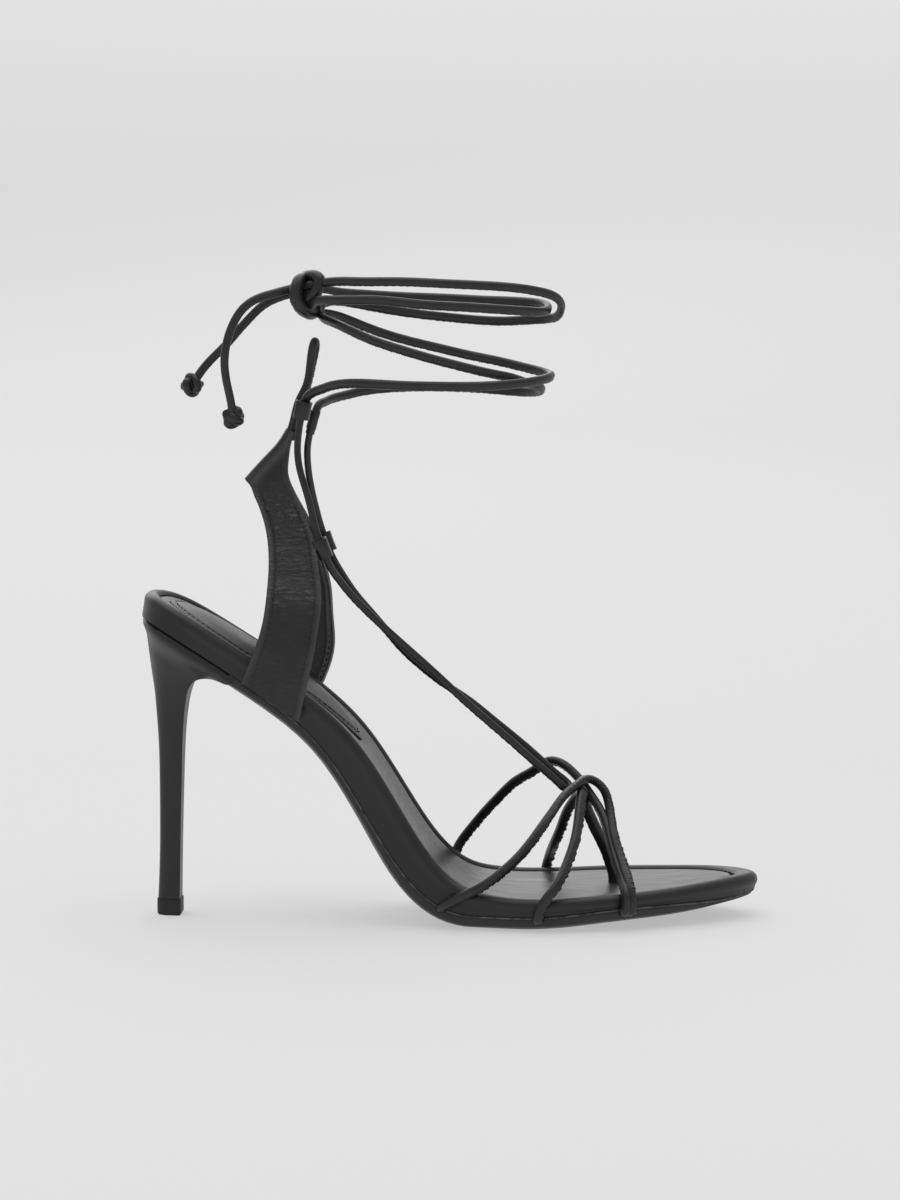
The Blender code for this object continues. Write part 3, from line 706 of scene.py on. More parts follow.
@dataclass
class SoleForm:
    """The last's bottom: outline, arch and toe spring, read from the stations."""

    half_length: float = 103.7
    steps: int = 150
    end_angle: float = 0.03
    slope_reach: float = 0.6
    toe_start: float = 72.0
    toe_reach: float = 1.4
    seat_start: float = -70.0
    seat_fade: float = 26.0

    def angle(self, x: Sequence[float]) -> Points:
        """Place along the sole as an angle, so that both ends round off."""
        return np.arccos(np.clip(-np.asarray(x, float) / self.half_length, -1.0, 1.0))

    def rows(self, x: Points) -> Points:
        """Station columns at places along the sole."""
        return self.rows_at(self.angle(x))

    def rows_at(self, angles: Points) -> Points:
        """Station columns at station angles."""
        return spline(self.angle([row.x for row in STATIONS]), np.array(STATIONS), angles)

    def column(self, x: Points, name: str) -> Points:
        """One named station column at places along the sole."""
        return self.rows(x)[:, Station._fields.index(name)]

    def slope(self, x: Points) -> Points:
        """Slope of the crest line.

        Args:
            x: Places along the sole.

        Returns:
            Rise by run at each place.
        """
        limit = self.half_length - self.slope_reach
        inside = np.clip(x, -limit, limit)
        ahead = self.column(inside + self.slope_reach, "crest")
        behind = self.column(inside - self.slope_reach, "crest")
        return (ahead - behind) / (2 * self.slope_reach)

    def lift(self, plan: Points, depth: Any) -> Points:
        """Sets places in plan on the sole.

        Args:
            plan: Rows of x and y.
            depth: Depth below the crest line, square to it, for all places or for each.

        Returns:
            Rows of x, y and z.
        """
        x = plan[:, 0]
        slope = self.slope(x)
        length = np.sqrt(1 + slope**2)
        z = self.column(x, "crest") - depth / length
        along = x + self.toe_reach * self.near_tip(x) ** 2 + depth * slope / length
        return np.stack([along, plan[:, 1], z], axis=1)

    def edges(self, angles: Points) -> Points:
        """Both edges in plan at station angles, lateral edge first and the medial one back.

        Args:
            angles: The angles, from the heel to the toe or the other way.

        Returns:
            Rows of x and y.
        """
        rows = self.rows_at(angles)
        x = -self.half_length * np.cos(angles)
        lateral = np.stack([x, rows[:, Station._fields.index("lateral")]], axis=1)
        medial = np.stack([x, rows[:, Station._fields.index("medial")]], axis=1)
        return np.concatenate([lateral, medial[::-1]])

    def near_tip(self, x: Points) -> Points:
        """Share of the way over the toe, 0 behind it and 1 at its tip."""
        return np.clip((x - self.toe_start) / (self.half_length - self.toe_start), 0.0, 1.0)

    def near_seat(self, x: Points) -> Points:
        """Share of the way to the heel's back, 0 before the seat and 1 round its back."""
        share = np.clip((self.seat_start - x) / self.seat_fade, 0.0, 1.0)
        return share**2 * (3 - 2 * share)

    def outline(self, inset: float, first_x: Optional[float] = None, tip_inset: float = 0.0) -> Points:
        """Plan of the sole moved inwards.

        Args:
            inset: Distance in from the edge.
            first_x: Where the outline starts, or None for the heel's back.
            tip_inset: What is added to the inset at the toe's tip.

        Returns:
            Rows of x and y, lateral edge first.
        """
        start = self.end_angle if first_x is None else float(self.angle([first_x])[0])
        angles = np.linspace(start, math.pi - self.end_angle, self.steps)
        plan = self.edges(angles)
        plan = inset_plan(plan, inset + tip_inset * self.near_tip(plan[:, 0]) ** 3)
        if first_x is not None:
            plan[[0, -1], 0] = first_x
            plan[[0, -1], 1] = plan[[1, -2], 1]
        return plan


def inset_plan(plan: Points, inset: Any) -> Points:
    """A closed plan moved inwards.

    Args:
        plan: Rows of x and y, counter-clockwise from above.
        inset: Distance for all points or for each.

    Returns:
        The moved rows.
    """
    along = unit(np.roll(plan, -1, axis=0) - np.roll(plan, 1, axis=0))
    outward = np.stack([along[:, 1], -along[:, 0]], axis=1)
    return plan - outward * np.reshape(inset, (-1, 1))


def edge_distance(plan: Points, outline: Points) -> Points:
    """Distance of places in plan from the nearest point of an outline."""
    return np.min(np.linalg.norm(plan[:, None, :] - outline[None, :, :], axis=2), axis=1)


SOLE = SoleForm()


def across_plan(outline: Points, columns: int) -> Points:
    """Places in plan from an outline's lateral half over to its medial half.

    Args:
        outline: Rows of x and y, lateral edge first.
        columns: Number of places from edge to edge.

    Returns:
        Array of rows by columns by 2.
    """
    half = len(outline) // 2
    lateral, medial = outline[:half], outline[half:][::-1]
    return lateral[:, None, :] + (medial - lateral)[:, None, :] * eased(columns)[None, :, None]


def sole_layer(name: str, plan: Points, depth: Points, wall: float) -> Piece:
    """Models a sheet that lies on the sole.

    Args:
        name: The sheet's name.
        plan: Places in plan, rows by columns by 2.
        depth: Depth of each place below the crest line.
        wall: Thickness of the sheet.

    Returns:
        The sheet, shaded smooth.
    """
    sheet = grid_piece(name, SOLE.lift(plan.reshape(-1, 2), depth).reshape(*plan.shape[:2], 3))
    if sum(face.normal.z for face in sheet.data.polygons) < 0:
        flip(sheet)
    thicken(sheet, wall, -1.0)
    apply_modifiers(sheet)
    smooth(sheet)
    return sheet


@dataclass
class Platform:
    """The covered midsole: a wall that rises from the feather line into a soft rolled rim."""

    wall_shares: tuple = (1.0, 0.8, 0.55, 0.3, 0.12)
    roll: float = 2.8
    roll_start: float = math.radians(-32)
    roll_foot: float = 4.3
    feather_inset: float = 0.9
    waist_inset: float = 0.62
    lip_inset: float = 4.95
    lip_fall: float = 1.7
    lip_depth: float = 2.6
    roll_steps: int = 12
    tip_rim: float = 2.8
    seat_fullness: float = 0.85
    tip_tuck: float = 0.8
    pleat_depth: float = 0.55
    pleat_pitch: float = 2.6

    def rings(self) -> Points:
        """Rings from the feather line over the rim to the footbed's recess.

        Returns:
            Array of rings by points by 3.
        """
        # inset, depth, share of the way down the wall
        profile = []
        for share in self.wall_shares:
            inset = self.waist_inset + (self.feather_inset - self.waist_inset) * share**2
            profile.append((inset, self.roll_foot, share))
        for turn in np.linspace(self.roll_start, math.pi / 2, self.roll_steps):
            profile.append((self.roll * (1 - math.cos(turn)), self.roll * (1 - math.sin(turn)), 0.0))
        for turn in np.linspace(math.pi / 2, math.pi, self.roll_steps)[1:]:
            inset = self.roll - (self.lip_inset - self.roll) * math.cos(turn)
            profile.append((inset, self.lip_fall * (1 - math.sin(turn)), 0.0))
        profile.append((self.lip_inset, self.lip_depth, 0.0))
        plan = SOLE.outline(0.0)
        wall = SOLE.column(plan[:, 0], "wall")
        tip = SOLE.near_tip(plan[:, 0])
        fuller = self.seat_fullness * SOLE.near_seat(plan[:, 0])
        pleat = self.pleat_depth * np.cos(lengths_along(plan) * 2 * math.pi / self.pleat_pitch)
        rings = []
        for inset, depth, share in profile:
            over = max(0.0, (inset - self.roll) / (self.lip_inset - self.roll))
            below_roll = float(depth > self.roll)
            gathered = inset * (1 - below_roll * fuller)
            gathered += share**2 * tip**2 * (self.tip_tuck + pleat) + over * self.tip_rim * tip**3
            rings.append(SOLE.lift(inset_plan(plan, gathered), depth + share * (wall - depth)))
        return np.array(rings)

    def build(self) -> None:
        """Models the platform."""
        piece = grid_piece("platform_cover", self.rings(), closed=True, cap=Cap.STRIPS)
        dress(piece, CALF_COVER, "midsole_leather", "covered_midsole")


@dataclass
class Footbed:
    """The insole: a thin polished leather, rolled down at its edge and sewn to the rim."""

    inset: float = 5.15
    tip_inset: float = 2.8
    depth: float = 0.8
    thickness: float = 1.7
    edge_drop: float = 0.9
    edge_width: float = 1.1
    dish: float = 0.9
    dish_width: float = 50.0
    columns: int = 36
    stitch_inset: float = 5.3
    stitch_depth: float = 1.25
    stitch: Stitch = Stitch(pitch=2.4, length=1.7, thread=0.75)

    def build(self) -> None:
        """Models the insole and its edge stitches."""
        outline = SOLE.outline(self.inset, None, self.tip_inset)
        plan = across_plan(outline, self.columns)
        away = edge_distance(plan.reshape(-1, 2), outline)
        width = np.linalg.norm(plan[:, -1] - plan[:, 0], axis=1)
        open_share = np.clip(width / self.dish_width, 0.0, 1.0)
        hollow = self.dish * open_share[:, None] * np.sin(math.pi * eased(self.columns)) ** 2
        depth = self.depth + self.edge_drop * hump(away, 0.0, self.edge_width) ** 2 + hollow.ravel()
        sheet = sole_layer("footbed", plan, depth, self.thickness - self.dish)
        dress(sheet, PLATED_FOOTBED, "footbed_leather", "insole")
        line = SOLE.outline(self.stitch_inset, None, self.tip_inset)
        line = np.concatenate([line, line[:1]])
        stitches = sew("footbed_stitches", SOLE.lift(line, self.stitch_depth), self.stitch)
        dress(stitches, SEWING_THREAD, "footbed_leather")


@dataclass
class HeelPad:
    """The padded heel sock: a crowned almond with a sewn channel near its edge."""

    back_x: float = -95.0
    front_x: float = -29.0
    half_width: float = 20.0
    middle_y: float = -2.5
    taper: float = 0.16
    fullness: float = 0.95
    end_angle: float = 0.1
    seat_depth: float = 0.8
    height: float = 2.5
    edge_share: float = 0.2
    edge_width: float = 0.9
    crown_width: float = 8.0
    channel: float = 2.1
    channel_depth: float = 0.42
    channel_width: float = 0.55
    skin: float = 0.5
    outline_step: float = 0.4
    rows: int = 110
    columns: int = 60
    thread_lift: float = 0.1
    open_ends: int = 2
    stitch: Stitch = Stitch(pitch=2.3, length=1.6, thread=0.6)

    def outline(self) -> Points:
        """Plan of the pad, lateral edge first.

        Returns:
            Rows of x and y.
        """
        angles = np.linspace(self.end_angle, math.pi - self.end_angle, self.rows)
        middle = (self.front_x + self.back_x) / 2
        half = (self.front_x - self.back_x) / 2
        x = middle - half * np.cos(angles)
        width = self.half_width * np.sin(angles) ** self.fullness * (1 - self.taper * (x - middle) / half)
        lateral = np.stack([x, self.middle_y - width], axis=1)
        medial = np.stack([x, self.middle_y + width], axis=1)
        return np.concatenate([lateral, medial[::-1]])

    def rise(self, away: Points) -> Points:
        """Height of the pad: a rolled edge, the channel and a soft crown.

        Args:
            away: Distances from the pad's edge.

        Returns:
            The height at each distance.
        """
        edge = 1 - hump(away, 0.0, self.edge_width)
        crown = 1 - hump(away, 0.0, self.crown_width)
        channel = self.channel_depth * hump(away, self.channel, self.channel_width)
        return self.height * (self.edge_share * edge + (1 - self.edge_share) * crown) - channel

    def build(self) -> None:
        """Models the pad and its stitches."""
        outline = self.outline()
        plan = across_plan(outline, self.columns)
        dense = route(np.concatenate([outline, outline[:1]]), self.outline_step)
        depth = self.seat_depth - self.rise(edge_distance(plan.reshape(-1, 2), dense))
        pad = sole_layer("heel_pad_cushion", plan, depth, self.skin)
        dress(pad, NAPPA_PAD, "heel_pad_leather", "heel_pad")
        line = inset_plan(outline, self.channel)[self.open_ends : -self.open_ends]
        seam_depth = self.seat_depth - self.rise(np.array([self.channel]))[0] - self.thread_lift
        stitches = sew("heel_pad_stitches", SOLE.lift(line, seam_depth), self.stitch)
        dress(stitches, SEWING_THREAD, "heel_pad_leather")


@dataclass
class Outsole:
    """The thin outsole: its edge stands a little proud, and it lies flat under the ball."""

    start_x: float = -68.4
    edge_inset: float = 0.55
    seat_gap: float = 0.1
    tread_inset: float = 7.9
    tread_drop: float = 1.5
    tip_tuck: float = 1.6
    tip_thinning: float = 0.45
    feather_start: float = -64.0
    feather_inset: float = 0.5

    def build(self) -> None:
        """Models the outsole and the cover's edge that shows above it."""
        profile = (
            # inset, share of the edge's thickness, drop
            (1.5, 0.0, 0.0),
            (self.edge_inset + 0.2, 0.0, 0.0),
            (self.edge_inset, 0.1, 0.0),
            (self.edge_inset, 0.35, 0.0),
            (self.edge_inset, 0.62, 0.0),
            (self.edge_inset + 0.3, 0.86, 0.0),
            (self.edge_inset + 1.0, 1.0, 0.0),
            (self.edge_inset + 3.0, 1.0, 0.5),
            (self.tread_inset, 1.0, self.tread_drop),
        )
        rings = []
        for inset, share, drop in profile:
            plan = SOLE.outline(inset, self.start_x, self.tip_tuck)
            wall = SOLE.column(plan[:, 0], "wall")
            thinned = 1 - self.tip_thinning * SOLE.near_tip(plan[:, 0]) ** 2
            edge = SOLE.column(plan[:, 0], "outsole") * thinned
            ring = SOLE.lift(plan, wall + self.seat_gap + share * edge + drop)
            ring[:, 2] = np.maximum(ring[:, 2], 0.0)
            rings.append(ring)
        piece = grid_piece("outsole_leather_sheet", np.array(rings), closed=True, cap=Cap.STRIPS)
        dress(piece, BUFFED_SOLE, "outsole_leather", "outsole")
        # The bead along the feather line: paler cut fibre with a painted highlight
        plan = SOLE.outline(self.feather_inset, self.feather_start, self.tip_tuck)
        line = SOLE.lift(plan, SOLE.column(plan[:, 0], "wall"))
        bead = FEATHER.piece("feather_edge", FEATHER.path(line), ((0.0, 0.0, 1.0),))
        dress(bead, CUT_EDGE_AND_HIGHLIGHT, "outsole_leather")


# The heel


class HeelRing(NamedTuple):
    """A D-shaped ring of the heel: its rounded back, its flat breast and half its width."""

    back_x: float
    back_z: float
    breast_x: float
    breast_z: float
    half_width: float


HEEL_RINGS = (
    HeelRing(-103.0, 94.0, -79.0, 82.8, 19.0),
    HeelRing(-102.4, 89.0, -84.6, 82.4, 15.2),
    HeelRing(-101.8, 84.0, -87.6, 80.0, 12.0),
    HeelRing(-101.0, 78.0, -89.2, 76.0, 9.4),
    HeelRing(-100.4, 71.0, -90.2, 70.0, 7.2),
    HeelRing(-99.8, 62.0, -90.9, 61.5, 5.8),
    HeelRing(-99.5, 54.0, -91.2, 54.0, 5.2),
    HeelRing(-99.4, 44.0, -91.5, 44.0, 4.7),
    HeelRing(-99.4, 28.0, -91.9, 28.0, 4.5),
    HeelRing(-99.8, 12.0, -92.2, 12.0, 4.6),
    HeelRing(-100.1, 5.7, -92.3, 5.7, 4.8),
)


@dataclass
class Heel:
    """The covered heel and its tip: a seat under the midsole that runs down into a thin shaft."""

    axis_y: float = -2.5
    seat_front_x: float = -67.0
    seat_steps: int = 48
    seat_gap: float = 0.1
    seat_inset: float = 0.75
    feather_inset: float = 0.9
    flange_front: float = 3.0
    flange_back: float = 3.6
    flange_back_inset: float = 2.4
    back_fullness: float = 0.72
    side_fullness: float = 0.8
    tip_height: float = 5.6
    tip_overhang: float = 0.35
    ring_steps: int = 90
    breast_edge: float = 0.5
    breast_angle: float = 50.0
    groove: float = 0.9

    def d_ring(self, ring: HeelRing, count: int, overhang: float = 0.0) -> Points:
        """Points of a D-shaped ring.

        Args:
            ring: The ring's sizes.
            count: Number of points.
            overhang: How far the ring is grown.

        Returns:
            Points from the lateral breast edge round the back to the medial one.
        """
        turn = np.linspace(0.0, math.pi, count)
        back = np.array([ring.back_x - overhang, ring.back_z])
        breast = np.array([ring.breast_x + overhang, ring.breast_z])
        line = breast + (back - breast) * (np.sin(turn) ** self.back_fullness)[:, None]
        side = np.sign(np.cos(turn)) * np.abs(np.cos(turn)) ** self.side_fullness
        return np.stack([line[:, 0], self.axis_y - (ring.half_width + overhang) * side, line[:, 1]], axis=1)

    def seat_rings(self) -> list[Points]:
        """The seat under the midsole and the edge of its flange.

        Returns:
            Rings from the seat down.
        """
        angles = np.linspace(float(SOLE.angle([self.seat_front_x])[0]), SOLE.end_angle, self.seat_steps)
        plan = SOLE.edges(angles)
        back = (self.seat_front_x - plan[:, 0]) / (self.seat_front_x + SOLE.half_length)
        wall = SOLE.column(plan[:, 0], "wall") + self.seat_gap
        flange = self.flange_front + (self.flange_back - self.flange_front) * back**2
        rings = []
        for inset, drop in (
            (self.seat_inset + self.groove, 0.0),
            (self.seat_inset, self.groove),
            (self.feather_inset + self.flange_back_inset * back**4, flange),
        ):
            edge = inset_plan(plan, -inset)
            edge[[0, -1], 0] = self.seat_front_x
            rings.append(SOLE.lift(edge, wall + drop))
        return rings

    def build(self) -> None:
        """Models the heel and its tip."""
        rings = self.seat_rings()
        count = len(rings[0])
        table = np.array(rings + [self.d_ring(ring, count) for ring in HEEL_RINGS])
        fall = lengths_along(table.mean(axis=1))
        at = np.linspace(0.0, fall[-1], self.ring_steps)
        points = spline(fall, table.reshape(len(table), -1), at).reshape(self.ring_steps, count, 3)
        heel = grid_piece("heel_cover", points, closed=True, cap=Cap.STRIPS)
        soften_edges(heel, self.breast_edge, self.breast_angle)
        apply_modifiers(heel)
        smooth(heel)
        dress(heel, CALF_COVER, "heel_leather", "heel")
        self.build_tip()

    def build_tip(self) -> None:
        """Models the top lift."""
        # height, chamfer
        profile = ((self.tip_height, 0.15), (self.tip_height - 0.2, 0.0), (0.5, 0.0), (0.0, 0.4))
        levels = []
        for z, chamfer in profile:
            level = HEEL_RINGS[-1]._replace(back_z=z, breast_z=z)
            levels.append(self.d_ring(level, 2 * self.seat_steps, self.tip_overhang - chamfer))
        tip = grid_piece("heel_top_lift", np.array(levels), closed=True, cap=Cap.STRIPS)
        dress(tip, LIFT_RUBBER, "heel_tip_rubber", "heel_tip")


# Rolled straps and ties


@dataclass(frozen=True)
class Roll:
    """The section of a rolled and sewn strap: a round fold and a seam lip that stitches pucker and rib."""

    radius: float
    lip: float = 0.26
    lip_width: float = 0.5
    groove: float = 0.08
    groove_place: float = 2.2
    groove_width: float = 0.5
    pucker: float = 0.5
    pitch: float = 2.4
    steady: float = 0.62
    slow_pitch: float = 2.63
    slow_share: float = 0.3
    rib: float = 0.05
    rib_pitch: float = 1.0
    rib_width: float = 0.75
    rib_slant: float = 1.6
    flat: float = 0.0
    sides: int = 24
    step: float = 0.28

    def wave(self, run: Points) -> Points:
        """Uneven pull of the stitches along the seam, round 1.

        Args:
            run: Lengths along the seam.

        Returns:
            The pull at each length.
        """
        # The places and the strength of the stitches drift over several millimetres
        turns = 2 * math.pi * run / self.pitch
        main = np.cos(turns + 1.3 * np.sin(run / 4.1))
        pull = self.steady + (1 - self.steady) * np.sin(run / 5.3 + 0.8) * np.cos(run / 11.7)
        slow = np.sin(turns / self.slow_pitch)
        return 1 + self.pucker * ((1 - self.slow_share) * pull * main + self.slow_share * slow)

    def path(self, points: Sequence[Sequence[float]]) -> Points:
        """Points along a route, a step of the section apart."""
        return route(points, self.step)

    def rings(self, path: Points, seams: Sequence[Sequence[float]]) -> Points:
        """Rings of the section along a path.

        Args:
            path: Points of the strap's middle line.
            seams: Directions in which the seam looks, spread evenly from start to end.

        Returns:
            Array of path points by section points by 3.
        """
        tangent = unit(np.gradient(path, axis=0))
        places = np.linspace(0.0, 1.0, len(seams))
        look = read_rows(np.linspace(0.0, 1.0, len(path)), places, np.array(seams, float))
        look -= np.sum(look * tangent, axis=1, keepdims=True) * tangent
        look = unit(look)
        beside = np.cross(tangent, look)
        turn = np.linspace(-math.pi, math.pi, self.sides, endpoint=False)
        run = lengths_along(path)
        lip = self.lip * hump(turn, 0.0, self.lip_width)[None, :] * self.wave(run)[:, None]
        groove_place = self.groove_place * self.lip_width
        groove_width = self.groove_width * self.lip_width
        groove = self.groove * hump(np.abs(turn), groove_place, groove_width)[None, :]
        slant = 2 * math.pi * run[:, None] / self.rib_pitch + self.rib_slant * turn[None, :]
        rib = self.rib * hump(turn, 0.0, self.rib_width)[None, :] * np.cos(slant)
        radius = self.radius * (1 + lip - groove + rib)
        along_look = (1 + self.flat) * np.cos(turn)[None, :, None] * look[:, None, :]
        along_side = (1 - self.flat) * np.sin(turn)[None, :, None] * beside[:, None, :]
        return path[:, None, :] + radius[:, :, None] * (along_look + along_side)

    def piece(self, name: str, path: Points, seams: Sequence[Sequence[float]]) -> Piece:
        """A strap or cord of this section along a path.

        Args:
            name: The piece's name.
            path: Points of its middle line.
            seams: Directions in which the seam looks, spread evenly from start to end.

        Returns:
            The piece.
        """
        return grid_piece(name, self.rings(path, seams), closed=True, cap=Cap.FILL)


STRAP = Roll(radius=1.5, lip=0.34, pucker=0.85, pitch=2.7, rib=0.07)
LONG_STRAP = Roll(radius=1.5, lip=0.3, pucker=0.58, rib=0.1)
POST = Roll(radius=1.95, lip=0.1, rib=0.02)
TIE = Roll(radius=1.45, lip=0.16, pucker=0.45, sides=20, step=0.34, rib=0.05, flat=0.04)
INSTEP = Roll(radius=1.22, lip=0.18, sides=20, step=0.34)
LOOP = Roll(radius=1.3, lip=0.16, rib=0.03, sides=20)
KNOT_CORD = Roll(radius=2.2, lip=0.12, rib=0.04, sides=18)
END_CORD = Roll(radius=1.55, lip=0.1, rib=0.03, sides=18)
FEATHER = Roll(radius=0.3, lip=0.0, groove=0.0, rib=0.0, sides=8, step=0.8)


class StrapRow(NamedTuple):
    """One strap of the vamp: its name, section, route and where its seam looks along it."""

    name: str
    section: Roll
    points: tuple
    seams: tuple


STRAPS = (
    StrapRow(
        "outer_strap",
        LONG_STRAP,
        (
            (-2.6, -28.6, 6.4), (-1.9, -31.2, 6.9), (-0.7, -33.2, 8.3), (2.5, -34.6, 10.2),
            (6.0, -35.2, 12.0), (11.8, -35.2, 15.0), (18.4, -33.0, 19.4), (25.0, -29.0, 25.2),
            (31.4, -22.0, 32.9), (36.3, -15.0, 39.2), (39.5, -10.5, 43.0), (43.4, -5.0, 45.8),
            (47.7, 0.0, 47.1), (51.8, 0.5, 44.3), (53.8, -1.5, 40.2), (54.8, -6.0, 35.6),
            (55.8, -12.0, 30.7), (57.6, -18.0, 25.4), (59.8, -25.0, 20.3), (61.6, -31.2, 15.9),
            (62.6, -34.2, 11.8), (62.6, -34.4, 8.8), (62.3, -33.4, 7.0), (62.0, -30.6, 6.3),
        ),
        ((0.7, 0.2, -0.7), (0.7, 0.2, -0.7), (0.3, -1.0, 0.4), (1.0, -0.8, 0.4), (1.0, -0.7, 0.3)),
    ),
    StrapRow(
        "inner_strap",
        LONG_STRAP,
        (
            (-2.6, 28.4, 6.6), (-2.6, 31.0, 7.3), (-2.3, 32.8, 9.4), (-1.2, 34.0, 13.6),
            (0.9, 34.6, 18.8), (5.1, 33.4, 24.9), (10.5, 30.2, 31.7), (15.9, 26.0, 37.9),
            (21.2, 21.5, 43.4), (28.4, 15.0, 48.5), (34.4, 9.5, 52.2), (39.0, 6.5, 50.9),
            (42.4, 4.5, 48.2), (45.0, 2.8, 45.6), (47.2, 0.6, 42.8), (50.5, -3.0, 38.4),
            (53.2, -8.0, 33.5), (55.4, -15.0, 26.9), (57.8, -23.0, 20.4), (60.0, -30.0, 15.8),
            (61.0, -35.2, 11.6), (61.0, -35.1, 8.6), (60.6, -34.0, 6.9), (60.2, -31.2, 6.2),
        ),
        ((0.8, -0.3, -0.5), (0.6, -0.3, -0.7), (0.3, 0.3, -1.0), (-0.8, 0.4, -0.4), (-0.8, 0.4, -0.4)),
    ),
    StrapRow(
        "cross_strap",
        STRAP,
        (
            (30.8, -36.4, 4.0), (31.0, -38.8, 4.6), (31.6, -40.3, 6.8), (33.1, -40.5, 10.4),
            (37.0, -38.0, 15.6), (40.2, -32.0, 21.4), (42.7, -25.0, 28.0), (44.1, -17.0, 35.4),
            (44.6, -9.5, 41.2), (45.0, -3.0, 43.8), (44.0, 3.5, 42.2), (41.2, 10.5, 37.7),
            (39.1, 15.5, 33.6), (36.8, 23.0, 26.9), (34.1, 31.5, 20.0), (32.0, 39.3, 13.6),
            (31.0, 40.5, 9.6), (30.6, 40.3, 6.9), (30.5, 38.8, 4.6), (30.4, 36.4, 4.0),
        ),
        ((1.0, 0.1, -0.3), (1.0, -0.3, -0.3), (1.0, -0.2, -0.2), (1.0, -0.1, -0.3), (1.0, -0.1, -0.3)),
    ),
    StrapRow(
        "toe_post",
        POST,
        (
            (56.0, 8.6, 10.6), (55.9, 8.5, 12.9), (55.1, 8.1, 16.0), (52.9, 6.8, 22.4), (50.1, 5.0, 28.4),
            (47.8, 3.4, 33.6), (46.2, 1.8, 38.0), (45.6, 0.4, 42.4),
        ),
        ((-1.0, 0.0, 0.0), (-1.0, 0.0, -0.3)),
    ),
)


@dataclass
class Upper:
    """The vamp: rolled straps that cross over the toes, and the toe post under them."""

    slot: str = "strap_leather"
    node: str = "vamp_straps"

    def build(self) -> None:
        """Models each strap."""
        for strap in STRAPS:
            section = strap.section
            piece = section.piece(strap.name, section.path(strap.points), strap.seams)
            dress(piece, ROLLED_CALF, self.slot, self.node)


# The heel sling


class SlingRow(NamedTuple):
    """A level of a sling wing: its edges, and the inner face's distance from the heel's mid-plane."""

    rear_x: float
    rear_z: float
    rear_gap: float
    front_x: float
    front_z: float
    front_gap: float


SLING_ROWS = (
    SlingRow(-68.2, 82.5, 26.4, -50.0, 70.1, 26.2),
    SlingRow(-66.3, 87.0, 26.4, -48.6, 76.5, 26.5),
    SlingRow(-64.0, 93.0, 26.3, -46.9, 84.0, 26.7),
    SlingRow(-62.2, 98.2, 25.6, -45.0, 92.0, 26.4),
    SlingRow(-60.8, 104.5, 23.6, -43.5, 100.5, 25.0),
    SlingRow(-60.0, 112.0, 20.2, -42.5, 109.5, 22.4),
    SlingRow(-59.7, 121.0, 15.4, -43.6, 119.5, 18.0),
    SlingRow(-60.8, 131.0, 9.6, -46.0, 131.0, 12.2),
    SlingRow(-63.7, 140.0, 4.8, -50.2, 141.0, 8.0),
    SlingRow(-67.6, 147.6, 0.8, -54.0, 149.8, 5.2),
    SlingRow(-62.9, 153.0, 0.8, -54.5, 155.0, 3.8),
    SlingRow(-58.6, 157.6, 0.8, -53.9, 160.3, 2.6),
    SlingRow(-55.6, 161.2, 0.8, -53.0, 164.2, 1.6),
    SlingRow(-53.0, 165.4, 0.8, -52.1, 166.8, 1.2),
)


class Crease(NamedTuple):
    """A soft wrinkle across a wing: its height at the rear and front edges, its depth and half width."""

    rear_z: float
    front_z: float
    depth: float
    width: float

    def middle(self, share: Points) -> Points:
        """Height of its wavering middle line.

        Args:
            share: Shares of the way from the rear edge to the front one.

        Returns:
            The height at each share.
        """
        slow = 0.5 * np.sin(7.0 * share + 40.0 * self.depth)
        quick = 0.25 * np.sin(19.0 * share + self.rear_z)
        return self.rear_z + (self.front_z - self.rear_z) * share + (slow + quick)

    def shown(self, share: Points) -> Points:
        """How much of its depth shows at shares of the way, so that it comes and goes."""
        return 0.55 + 0.45 * np.sin(5.0 * share + 2.0 * self.rear_z)


CREASES = (
    Crease(102.2, 104.6, 0.22, 0.7),
    Crease(104.6, 106.2, 0.20, 0.6),
    Crease(110.4, 112.8, 0.30, 0.8),
    Crease(112.6, 115.4, -0.20, 0.8),
    Crease(114.8, 117.0, 0.20, 0.6),
    Crease(121.5, 125.0, 0.26, 0.8),
    Crease(124.6, 126.6, -0.12, 0.7),
    Crease(133.4, 136.0, 0.20, 0.6),
    Crease(135.6, 138.4, 0.24, 0.6),
    Crease(138.0, 140.4, 0.22, 0.5),
    Crease(140.6, 142.6, 0.20, 0.6),
    Crease(143.4, 145.0, 0.14, 0.6),
)


